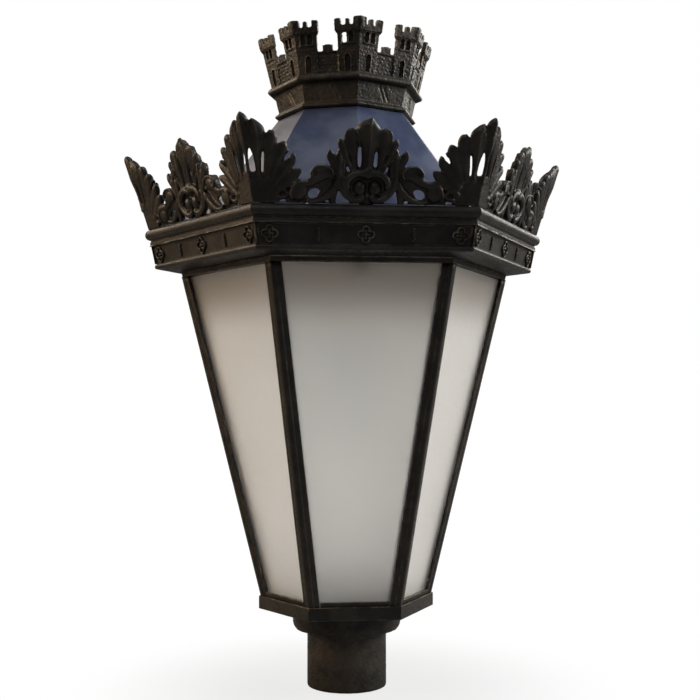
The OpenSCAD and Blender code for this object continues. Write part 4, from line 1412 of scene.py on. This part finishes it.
@dataclass(frozen=True)
class Stroke:
    """A modelled bar or leaf along a smooth path: points along the face and up it, with a half width.

    The stroke is as thick as it says, lifted off the plane of the face, and its end curls outwards.
    A vein runs along its middle, or a rolled rim along its left side, or its right one if negative.
    """

    points: tuple[Point3, ...]
    thick: float
    lift: float
    curl: float = 0.0
    vein: float = 0.0
    rim: float = 0.0

    def smooth(self) -> list[Vector]:
        """Points of a curve through the stroke's own points, with the half width as third value.

        Returns:
            The points.
        """
        given, parts = [Vector(p) for p in self.points], 5
        ends = [given[0] * 2 - given[1], *given, given[-1] * 2 - given[-2]]
        made = []
        for i in range(1, len(ends) - 2):
            a, b, c, d = ends[i - 1:i + 3]
            square, cube = 2 * a - 5 * b + 4 * c - d, 3 * b - a - 3 * c + d
            for k in range(parts):
                t = k / parts
                made.append(0.5 * (2 * b + (c - a) * t + square * t ** 2 + cube * t ** 3))
        return [*made, given[-1]]

    def shape(self) -> Shape:
        """The bar or leaf, with its vein and its rolled rim.

        Returns:
            The shape.
        """
        flow = self.smooth()
        last = len(flow) - 1
        full = max(p.z for p in flow)
        path = [Vector((p.x, p.y, self.lift + self.curl * (i / last) ** 2)) for i, p in enumerate(flow)]
        widths = [max(0.2, p.z) for p in flow]
        depths = [self.thick * max(0.12, min(1.0, w / full * 1.25)) ** 0.6 for w in widths]
        shape = sweep(path, widths, depths)
        inner = range(2, last - 1)
        if self.vein:
            ridge = [path[i] + Vector((0, 0, depths[i] - self.vein * 0.3)) for i in inner]
            shape.add(sweep(ridge, [self.vein] * len(ridge), [self.vein] * len(ridge), 8))
        if self.rim:
            edge = []
            for i in inner:
                ahead = (path[i + 1] - path[i - 1]).normalized()
                side = Vector((-ahead.y, ahead.x, 0)) * (math.copysign(widths[i], self.rim) - self.rim)
                edge.append(path[i] + side + Vector((0, 0, depths[i] * 0.55)))
            shape.add(sweep(edge, [abs(self.rim)] * len(edge), [abs(self.rim) * 1.3] * len(edge), 8))
        return shape


# The right half of a casting, drawn on the plane of its face: strokes, and plates with their holes.
MIDDLE = (
    Stroke(((11.2, 29, 2.0), (12.4, 38, 2.7), (14, 48, 3.8), (15.8, 56, 6.0), (17, 64, 7.6),
            (17.4, 70, 7.2), (17, 74.2, 4.2), (16.8, 76.6, 0.6)), 4.2, -2.2, curl=1.2, rim=-0.9),
    Stroke(((15, 30, 1.7), (18.2, 38, 2.0), (22.2, 47, 2.5), (25.4, 55, 3.9), (27.6, 60.6, 3.9),
            (28.8, 64, 2.2), (29.4, 66.4, 0.4)), 4.4, -2.0, curl=1.6, rim=-0.8),
    Stroke(((30, 24, 2.6), (31.4, 33, 3.2), (34.6, 41.6, 4.6), (37.8, 47.6, 4.6), (38.8, 51.4, 2.8),
            (38.8, 55, 0.4)), 4.2, -2.4, curl=1.8, rim=-0.8),
    Stroke(((29.6, 54, 2.0), (28.8, 45, 3.4), (29, 33, 3.6), (27.6, 20, 3.7), (22.6, 10, 3.7),
            (14.4, 4.4, 3.6), (6.8, 4.2, 3.3), (2.4, 8, 2.6)), 4.6, -1.6, rim=0.9),
    Stroke(((24.6, 44, 1.6), (24.4, 32, 2.0), (23.2, 20, 2.0), (19.2, 12.4, 1.9), (13.4, 8.4, 1.3)),
           4.0, -2.0, rim=-0.6),
    Stroke(((-1, 27.4, 3.2), (6, 30.4, 3.8), (13, 29.6, 4.0), (18.6, 25.2, 3.8), (20.6, 19.4, 3.0),
            (18.4, 15.6, 1.8)), 4.6, 0.0, rim=1.0),
    Stroke(((0, -1.5, 4.4), (0.5, 3, 2.8), (0.4, 9, 1.8)), 3.2, -3.4),
)
FLANK = (
    Stroke(((34.8, -0.6, 2.4), (34.6, 3.8, 3.6), (33.2, 9, 3.2), (31.6, 14, 2.2)), 3.8, -2.6),
    Stroke(((31.4, 22, 3.0), (34.8, 14.4, 3.9), (40, 8.6, 3.9), (46.4, 3.8, 3.2), (54, 1.6, 2.4),
            (62, 3, 2.8)), 4.4, -1.8, rim=-1.0),
    Stroke(((88, 15.2, 2.6), (78, 18.6, 3.6), (68, 19.6, 4.6), (60, 20, 4.2), (53.6, 24, 5.6),
            (47.4, 29, 6.2)), 4.6, -2.0),
    Stroke(((38.6, 24.6, 0.9), (35.4, 29.6, 1.3), (38, 35.2, 1.4), (45, 38, 1.4), (52.4, 36.8, 1.5),
            (56.8, 31.6, 1.7), (55.4, 27, 1.6), (51.4, 26.8, 1.5), (49.8, 30.2, 1.1)), 3.2, 0.6),
    Stroke(((72.6, 20.4, 0.8), (76.6, 15.6, 1.3), (78.2, 9.4, 1.4), (76.4, 3.2, 1.0)), 3.2, 0.2),
    Stroke(((91, 15, 3.6), (85.6, 14.2, 3.0), (81.6, 10.4, 2.4), (83, 6.2, 2.3), (90, 5.0, 3.0)),
           4.0, -2.2),
)
FLANK_BODY = (
    ((91, 5.6), (90.5, 14), (84.7, 17.4), (75.1, 20.8), (67.7, 23), (59.5, 23.8), (57.3, 26.2),
     (57.9, 30.4), (55.2, 36.2), (51, 38.6), (43, 37.8), (36.8, 34), (33.6, 28), (31.5, 20), (29.6, 12),
     (33, 6), (38, 1.4), (43.3, 6.4), (48.5, 0.6), (56, -0.2), (66, -0.2), (77, 0.2), (81.4, 1.4),
     (86, 5.6)),
    ((60.0, 10.5), (57.4, 13.6), (52.6, 14.8), (47.8, 13.4), (49.4, 9.6), (52.4, 5.4), (56.6, 4.4),
     (59.4, 6.6)),
)
MIDDLE_BODY = (
    ((-0.5, 0.6), (10, 0.6), (17, 3), (24, 8.6), (28.6, 15), (31.6, 23), (34.6, 31), (38.8, 40), (41, 47.6),
     (39.6, 53), (36, 51.6), (32.6, 47.4), (30.8, 53), (30.4, 61), (27.6, 63.6), (24.2, 60), (23.8, 67),
     (21.6, 73.4), (16.8, 75.4), (12.6, 73.8), (11, 78.6), (6, 83), (-0.5, 85.4)),
    ((6.9, 37), (9.2, 37), (9.9, 47), (9.7, 56), (8.3, 58.4), (6.9, 56.4), (6.5, 46)),
    ((18.0, 31.6), (20.0, 31.6), (22.4, 40), (22.6, 45.6), (20.8, 44.6), (19, 39)),
)
CORNER = (
    Stroke(((95, 9, 4.2), (87, 16.6, 5.2), (79.4, 24, 5.6), (73, 29.6, 5.2), (69.4, 32.6, 3.4),
            (67.2, 34.4, 0.6)), 4.4, -2.8, curl=2.0, rim=-1.0),
    Stroke(((96, 17, 4.0), (89.4, 27, 5.2), (82.2, 36, 5.6), (77.2, 41.8, 4.8), (74.4, 45, 2.8),
            (72.8, 46.8, 0.6)), 4.4, -2.6, curl=2.0, rim=-1.0),
    Stroke(((83, 38, 2.4), (78.4, 43, 3.2), (75.8, 47.6, 2.6), (74.6, 50, 0.6)), 3.6, -2.6, curl=1.0),
    Stroke(((97.6, 22, 4.0), (94.6, 34, 5.2), (90.6, 46, 6.4), (87.4, 54, 6.2), (85.6, 58.6, 4.4),
            (84.6, 61.6, 1.0)), 4.5, -2.5, curl=2.0, rim=-1.1),
    Stroke(((86, 49, 2.6), (82.4, 51.6, 2.8), (79.8, 52.6, 0.8)), 3.4, -2.5),
    Stroke(((101.6, 24, 3.6), (101, 36, 4.6), (99.6, 48, 5.8), (98.6, 58, 6.8), (98.4, 65, 6.8),
            (98.8, 69.4, 5.0), (99.4, 71.6, 2.4), (99.6, 72.4, 0.6)), 4.6, -2.3, curl=1.8, rim=-1.1),
    Stroke(((110, 24, 3.8), (110.6, 34, 3.2), (111.8, 46, 4.6), (112.8, 56, 7.4), (113.4, 65, 9.6),
            (114, 71.4, 9.4), (116, 77, 6.4), (117.6, 81, 3.4), (118.4, 83.4, 0.8)),
           4.8, -2.1, curl=1.4, vein=1.2),
)
LEAF = Stroke(((0, 24, 5.4), (0.3, 38, 6.0), (0.8, 50, 6.8), (1.4, 59, 9.0), (1.5, 68, 12.0),
               (1.2, 75.4, 12.0), (1.8, 79.8, 8.6), (2.6, 83.4, 4.6), (3.2, 87, 0.8)),
              4.8, -2.2, curl=1.4, vein=1.3)

# The lobe over a corner as (height, half width), and as (middle, radii) the round buds and the knot
# at the foot of the middle leaf.
LOBE = ((22, 5.0), (34, 3.8), (46, 4.0), (56, 6.2), (66, 8.4), (75, 9.4), (81.6, 8.6), (86.2, 6.0),
        (89.4, 2.0))
BUDS = (((46, 30.4, -1.4), (9.6, 7.6, 4.6)), ((69.6, 11.6, -1.8), (8.4, 9.8, 4.4)),
        ((7.8, 15.6, -1.4), (6.8, 7.8, 5.4)))
KNOT = ((0, 32.5, -1.2), (7.8, 4.8, 5.4))


@dataclass
class Crest(Part):
    """The pierced castings that stand on the frieze: palmettes joined by scrolls."""

    corner_r: float = 234.0
    top: float = 533.6
    corner_lean: float = 17.5
    mitre: float = 0.3
    plate_h: float = 30.5
    voxel: float = 0.85
    lug_w: float = 14.0
    lug_h: float = 4.0
    lug_y: float = 190.39
    lug_x: float = 100.5

    @property
    def lean(self) -> float:
        """Lean of a face, in degrees."""
        return leaning(self.corner_lean, HEX_FLAT)

    @property
    def apothem(self) -> float:
        """Distance of a face's foot from the axis."""
        return self.corner_r * HEX_FLAT

    def half_width(self, h: float) -> float:
        """Distance of the mitre from the middle of a face, at a height up its slope."""
        out = h * math.cos(math.radians(self.lean)) * math.tan(math.radians(self.corner_lean))
        return self.corner_r / 2 + out / 2

    def half(self) -> Shape:
        """Everything right of a face's middle, in the plane of the face.

        Returns:
            The shape.
        """
        shape = Shape()
        lobe = Stroke(tuple((self.half_width(h) + 0.6, h, w) for h, w in LOBE), 5.0, -2.8, curl=0.6)
        for part in (*MIDDLE, *FLANK, *CORNER, lobe):
            shape.add(part.shape())
        high = self.plate_h
        wide = self.half_width(high) + 8
        edge = [(90, -0.5), (wide, -0.5), (wide, high + 1), (119, high), (108, high), (100, high - 2),
                (94, high - 9), (90, high - 15), (88.5, 8)]
        shape.plate([rounded(edge, 2.5)], -6.6, -0.4)
        shape.plate([rounded(loop, 1.6, 2) for loop in FLANK_BODY], -6.2, -2.2)
        shape.plate([rounded(loop, 1.0, 2) for loop in MIDDLE_BODY], -6.2, -2.0)
        shape.plate([oblong(-0.5, -0.4, 92, 0.8)], -5.8, -2.0)
        for centre, radii in BUDS:
            shape.add(ball(Vector(centre), Vector(radii), 10, 20))
        return shape

    def casting(self) -> Mesh:
        """One casting on the front face, cut at its mitres and at its foot.

        Returns:
            Its mesh.
        """
        half, flat = self.half(), Shape()
        flat.add(half).add(half, Matrix.Scale(-1, 4, (1, 0, 0)))
        flat.add(LEAF.shape())
        flat.add(ball(*[Vector(p) for p in KNOT]))
        shape = Shape().add(flat, face_matrix(0, self.apothem, self.top, self.lean))
        for x in (-self.lug_x, 0, self.lug_x):
            far = Vector((x + self.lug_w / 2, -self.lug_y, self.top + self.lug_h))
            shape.box(Vector((x - self.lug_w / 2, -self.apothem + 2, self.top)), far)
        piece = hammered(fused(shape.piece("crest_casting"), self.voxel), depth=0.35, grain=4.0)
        work = bmesh.new()
        work.from_mesh(piece.data)
        start = Vector((0, -self.mitre / 2, 0)) * MM
        planes = [(start, Vector((side * HEX_FLAT, 0.5, 0))) for side in (-1, 1)]
        planes.append((Vector((0, 0, (self.top + 0.05) * MM)), Vector((0, 0, -1))))
        for point, normal in planes:
            parts = work.verts[:] + work.edges[:] + work.faces[:]
            cut = bmesh.ops.bisect_plane(work, geom=parts, plane_co=point, plane_no=normal,
                                         clear_outer=True)
            edges = [e for e in cut["geom_cut"] if isinstance(e, bmesh.types.BMEdge)]
            bmesh.ops.holes_fill(work, edges=edges, sides=0)
        mesh = bpy.data.meshes.new("crest_casting")
        work.to_mesh(mesh)
        work.free()
        mesh.shade_smooth()
        bpy.data.objects.remove(piece)
        return mesh

    def build(self) -> None:
        """Builds one casting and sets six of it round the hood."""
        mesh = self.casting()
        for k in range(6):
            piece = bpy.data.objects.new(f"crest_face_{k + 1}", mesh.copy())
            piece.data.transform(about_axis(60 * k))
            bpy.context.scene.collection.objects.link(piece)
            self.cast(piece, CAST, Body.HOOD, f"crest_{k + 1}")
        self.shop.keep(ZINC, "crest_screws")


@dataclass
class Roof(Part):
    """The painted sheet roof and its apron."""

    foot_r: float = 179.5
    head_r: float = 80.0
    foot: float = 533.6
    head: float = 666.1
    sheet: float = 1.5
    rod_r: float = 5.3
    turn: float = 3.0

    def build(self) -> None:
        """Builds and dresses the roof."""
        low = self.foot + self.sheet
        first = self.foot_r + (self.head_r - self.foot_r) * self.sheet / (self.head - self.foot)
        under = self.head - self.sheet
        outer = zip(spread(40, first + self.sheet, self.head_r - first), spread(40, low, self.head - low))
        inner = [(self.rod_r, self.head), (self.rod_r, under), (self.head_r - 0.2, under), (first, low)]
        ring = polygon_ring([*outer, *inner], 8, spread(24))
        piece = Shape().add(ring, about_axis(self.turn)).piece("roof_sheet")
        piece = hammered(bevelled(piece, width=1.1), depth=0.35, grain=26.0)
        self.shop.dress(piece, ROOF, Body.HOOD, "roof_paint", "roof_cover")
        self.shop.keep(ROOF, "roof_apron")
        self.shop.keep(ZINC, "roof_screws", "tie_rod", "tie_nuts")


# The outsides of the collar's two ring mouldings: distance from the nose, and height.
LOWER_RING = ((-2.4, 0.7), (-0.6, 1.9), (0, 3.3), (-0.5, 4.8), (-2.2, 6.3))
UPPER_RING = ((-4.4, 0.4), (-1.8, 1.2), (-0.4, 2.6), (0, 4.2), (-0.5, 5.8), (-1.8, 7.6))


@dataclass
class Collar(Part):
    """The band between two ring mouldings under the crown."""

    foot_r: float = 81.0
    flare: float = 5.0
    wall: float = 6.0
    low: float = 666.1
    height: float = 37.5
    ring_low: float = 7.7
    ring_high: float = 9.0
    crown_r: float = 90.0
    crown_wall: float = 4.5
    turn: float = 3.0
    cuts: Point2 = (1.0, 6.5)
    cut_half: float = 1.5
    cut_deep: float = 1.6
    cut_slant: float = 0.55

    def build(self) -> None:
        """Builds and dresses the collar, with pairs of slanted cuts in its band."""
        r, low, high = self.foot_r, self.low, self.low + self.height
        head_r, ring = r + self.flare, high - self.ring_high
        profile = [(r - self.wall, low), (r - 0.4, low), *[(r + 4.6 + x, low + z) for x, z in LOWER_RING]]
        profile += [(r + 0.6, low + self.ring_low - 0.2), (r, low + self.ring_low + 0.2), (head_r, ring)]
        profile += [(self.crown_r + 4.4 + x, ring + z) for x, z in UPPER_RING]
        profile += [(self.crown_r + 0.6, high + 0.6), (self.crown_r - self.crown_wall - 4, high)]
        profile.append((head_r - self.wall, ring))
        cut_low, cut_high = low + self.ring_low + 3, ring - 3

        def grooved(share: float, radius: float, z: float) -> float:
            """Sinks a point of the band where a slanted cut runs.

            Args:
                share: Its place along the side, from -1 to 1.
                radius: Its corner radius.
                z: Its height.

            Returns:
                The new radius.
            """
            if not cut_low < z < cut_high or radius < r - 1:
                return radius
            x = share * r * math.sin(math.pi / 8)
            for middle in self.cuts:
                away = abs(x - middle + (z - (cut_low + cut_high) / 2) * self.cut_slant)
                if away < self.cut_half:
                    return radius - self.cut_deep * (1 - away / self.cut_half)
            return radius

        band = polygon_ring(dense(profile, 1.3), 8, spread(70), grooved)
        piece = Shape().add(band, about_axis(self.turn)).piece("collar_band")
        piece = hammered(piece, depth=0.7, grain=3.0)
        self.cast(piece, CAST_ROUGH, Body.HOOD, "collar_casting")


# The round merlon on a corner, as (share of the crown's height, radius).
TURRET = ((0.7, 3.0), (0.74, 5.8), (0.8, 6.6), (0.9, 6.8), (0.965, 6.4), (0.992, 5.0), (1.0, 3.0))


@dataclass
class Crown(Part):
    """The castle: towers bent round the corners of an octagon, with curtain walls between."""

    corner_r: float = 90.0
    foot: float = 703.6
    height: float = 61.0
    corner_lean: float = 14.0
    turn: float = 3.0
    wall: float = 4.5
    floor_t: float = 3.0
    curtain_h: float = 25.0
    curtain_w: float = 11.5
    parapet_h: float = 15.0
    parapet_out: float = 2.0
    recess: float = 2.6
    window_x: Point2 = (20.0, 28.2)
    window_w: float = 4.4
    window_h: float = 11.2
    window_low: float = 13.0
    door_x: float = 22.8
    courses: int = 11
    course: float = 4.0
    course_low: float = 2.4
    course_shift: float = 2.2
    stone_least: float = -0.15
    stone_back: float = 1.4
    windows_from: float = 14.5
    windows_h: float = 18.5
    doorway: Point2 = (17.2, 28.4)
    doorway_h: float = 23.5
    turret_in: float = 4.2
    voxel: float = 0.7

    @property
    def lean(self) -> float:
        """Lean of a facet, in degrees."""
        return leaning(self.corner_lean, OCT_FLAT)

    @property
    def tower_top(self) -> float:
        """Height at which the parapets of the towers start."""
        return self.height - self.parapet_h

    def half_width(self, h: float) -> float:
        """Distance of a facet's corner from its middle, at a height up its slope."""
        out = h * math.cos(math.radians(self.lean)) * math.tan(math.radians(self.corner_lean))
        return (self.corner_r + out) * math.sin(math.pi / 8)

    def stones(self, seed: int) -> Shape:
        """Rough ashlar that stands a little proud of a half facet.

        Args:
            seed: Shifts the pattern.

        Returns:
            The stones, in the facet's own plane.
        """
        shape, top = Shape(), self.tower_top
        for row in range(self.courses):
            h = self.course_low + row * self.course
            left = 0.6 if h < self.curtain_h - 3 else self.curtain_w + 1
            x = left + 1.6 + (row % 2) * self.course_shift
            while x < self.half_width(h) - 1 and h < top - 2:
                chance = noise.noise(Vector((x * 0.73 + seed, h * 1.31, seed * 0.37)))
                level = -self.stone_back if x < self.curtain_w else 0.0
                size = 1.0 + 0.8 * abs(chance)
                window = x > self.windows_from and h > top - self.windows_h
                door = self.doorway[0] < x < self.doorway[1] and h < self.doorway_h
                if chance > self.stone_least and not window and not door:
                    radii = Vector((size * 1.25, size * 0.9, 0.45 + 0.5 * abs(chance)))
                    shape.add(ball(Vector((x, h + 0.8 * chance, level)), radii, 5, 8))
                x += self.course + chance
        return shape

    def half_facet(self, window_open: bool = False) -> Shape:
        """The right half of a facet: half a curtain wall and half a tower.

        Args:
            window_open: Lets the light through its inner window.

        Returns:
            The shape, in the facet's own plane.
        """
        shape, back, top, out = Shape(), -self.wall, self.tower_top, self.parapet_out
        windows = [arch(x, top - self.window_low, self.window_w, self.window_h) for x in self.window_x]
        door = arch(self.door_x, 1.4, 5.2, 18.4)
        foot, head = self.half_width(0) + 0.6, self.half_width(top) + 0.6
        wall = [(self.curtain_w, -0.5), (foot, -0.5), (head, top + 2), (self.curtain_w, top + 2)]
        shape.plate([wall, *windows, door], back, 0.0)
        shape.plate([wall, windows[0]] if window_open else [wall], back, -self.recess)
        self.curtain(shape)
        for x, window in zip(self.window_x, windows):
            shape.plate([rounded(arch(x, top - 13.4, 6.8, 12.8), 0.3, 1), window], -1, 0.4)
            shape.plate([rounded(oblong(x - 3.9, top - 15.4, x + 3.9, top - 13.2), 0.6, 1)], -1, 1.1)
        shape.plate([arch(self.door_x, 0.2, 7.6, 21), door], -1, 0.4)
        inner, corner = self.curtain_w - 2.2, self.half_width(self.height)
        shape.plate([oblong(inner + 0.8, top - 2.6, head + 0.5, top + 1)], back, out * 0.5)
        shape.plate([rounded(oblong(inner, top - 0.6, corner, top + 6.2), 0.7, 2)], back, out)
        # Each merlon's foot, left and right, and its top corners with what has broken off them.
        merlons = (
            (inner, inner + 8.4, (inner + 8.0, 1.0), (inner - 0.2, 1.6)),
            (inner + 12.2, inner + 18.6, (inner + 18.2, 2.2), (inner + 12.8, 1.8)),
            (corner - 9.6, corner + 0.5, (corner + 0.8, 0.2), (corner - 8.6, 0.6)))
        for left, right, *tops in merlons:
            block = [(left, top), (right, top), *[(x, self.height - broken) for x, broken in tops]]
            shape.plate([rounded(block, 2.4)], back + 0.2, out)
        return shape

    def curtain(self, shape: Shape) -> None:
        """Adds half a curtain wall to a half facet, with its coping and its worn middle merlon.

        Args:
            shape: The half facet.
        """
        back, side, top = -self.wall, self.curtain_w + 0.5, self.curtain_h
        shape.plate([oblong(-0.1, -0.5, side, top)], back, -1.5)
        shape.plate([rounded(oblong(-0.1, top - 2.6, side, top), 0.4, 1)], back - 0.8, -0.2)
        shape.plate([[(-0.1, top - 1), (6.2, top - 1), (6.2, top + 6.8), (4.2, top + 6.8), (4.0, top + 5.2),
                      (3.2, top + 5.2), (3.0, top + 7.4), (-0.1, top + 7.4)]], back, -0.2)

    def corner_turret(self) -> Shape:
        """The round merlon that stands on a corner of the octagon.

        Returns:
            The shape.
        """
        rings = []
        slope = math.tan(math.radians(self.corner_lean))
        around = [math.tau * k / 20 for k in range(20)]
        for share, r in TURRET:
            z = self.height * share * math.cos(math.radians(self.lean))
            x = self.corner_r + z * slope - self.turret_in
            rings.append([Vector((x + r * math.cos(a), r * math.sin(a), self.foot + z)) for a in around])
        return Shape().loft(rings)

    def build(self) -> None:
        """Builds and dresses the crown, with one window open to the sky."""
        shape, turret = Shape(), self.corner_turret()
        mirror = Matrix.Scale(-1, 4, (1, 0, 0))
        for k in range(8):
            facet = face_matrix(45 * k + 22.5 + self.turn, self.corner_r * OCT_FLAT, self.foot, self.lean)
            shape.add(self.half_facet(k == 7), facet).add(self.half_facet(), facet @ mirror)
            shape.add(self.stones(k + 1), facet).add(self.stones(k + 11), facet @ mirror)
            shape.add(turret, about_axis(45 * k + self.turn))
        corners = [math.pi / 4 * k + math.radians(self.turn) for k in range(8)]
        floor = (self.foot, self.foot + self.floor_t)
        shape.loft([[polar(self.corner_r - 1.5, a, z) for a in corners] for z in floor])
        piece = fused(shape.piece("crown_towers"), self.voxel, smooth=1)
        piece = hammered(hammered(piece, depth=0.6, grain=2.2), depth=0.5, grain=6.0, seed=7)
        self.cast(piece, CAST_ROUGH, Body.HOOD, "crown_castle")


@dataclass
class LampGear(Part):
    """What hangs inside the hood."""

    def build(self) -> None:
        """Dresses the gear; its CAD shapes stay."""
        self.shop.keep(ENAMEL, "gear_tray", "holder_bracket")
        self.shop.keep(GEAR_CASE, "ballast")
        self.shop.keep(GEAR_PLASTIC, "ignitor", "terminal_block")
        self.shop.keep(PORCELAIN, "lampholder")
        self.shop.keep(BRASS, "lamp_cap")
        self.shop.keep(CLEAR, "lamp_glass")
        self.shop.keep(CERAMIC, "arc_tube")
        self.shop.keep(ZINC, "gear_tray_screws", "lid_leaf_screws", "catch_peg")
        self.shop.keep(CAST, "hinge_lid_leaf")


def main() -> None:
    """Builds the studio and the lantern."""
    Studio().build()
    shop = Workshop(Effects())
    for part in (PostSleeve, Cage, Frieze, Crest, Roof, Collar, Crown, LampGear):
        part(shop).build()
        log.info("%s done", part.__name__)


if __name__ == "__main__":
    main()
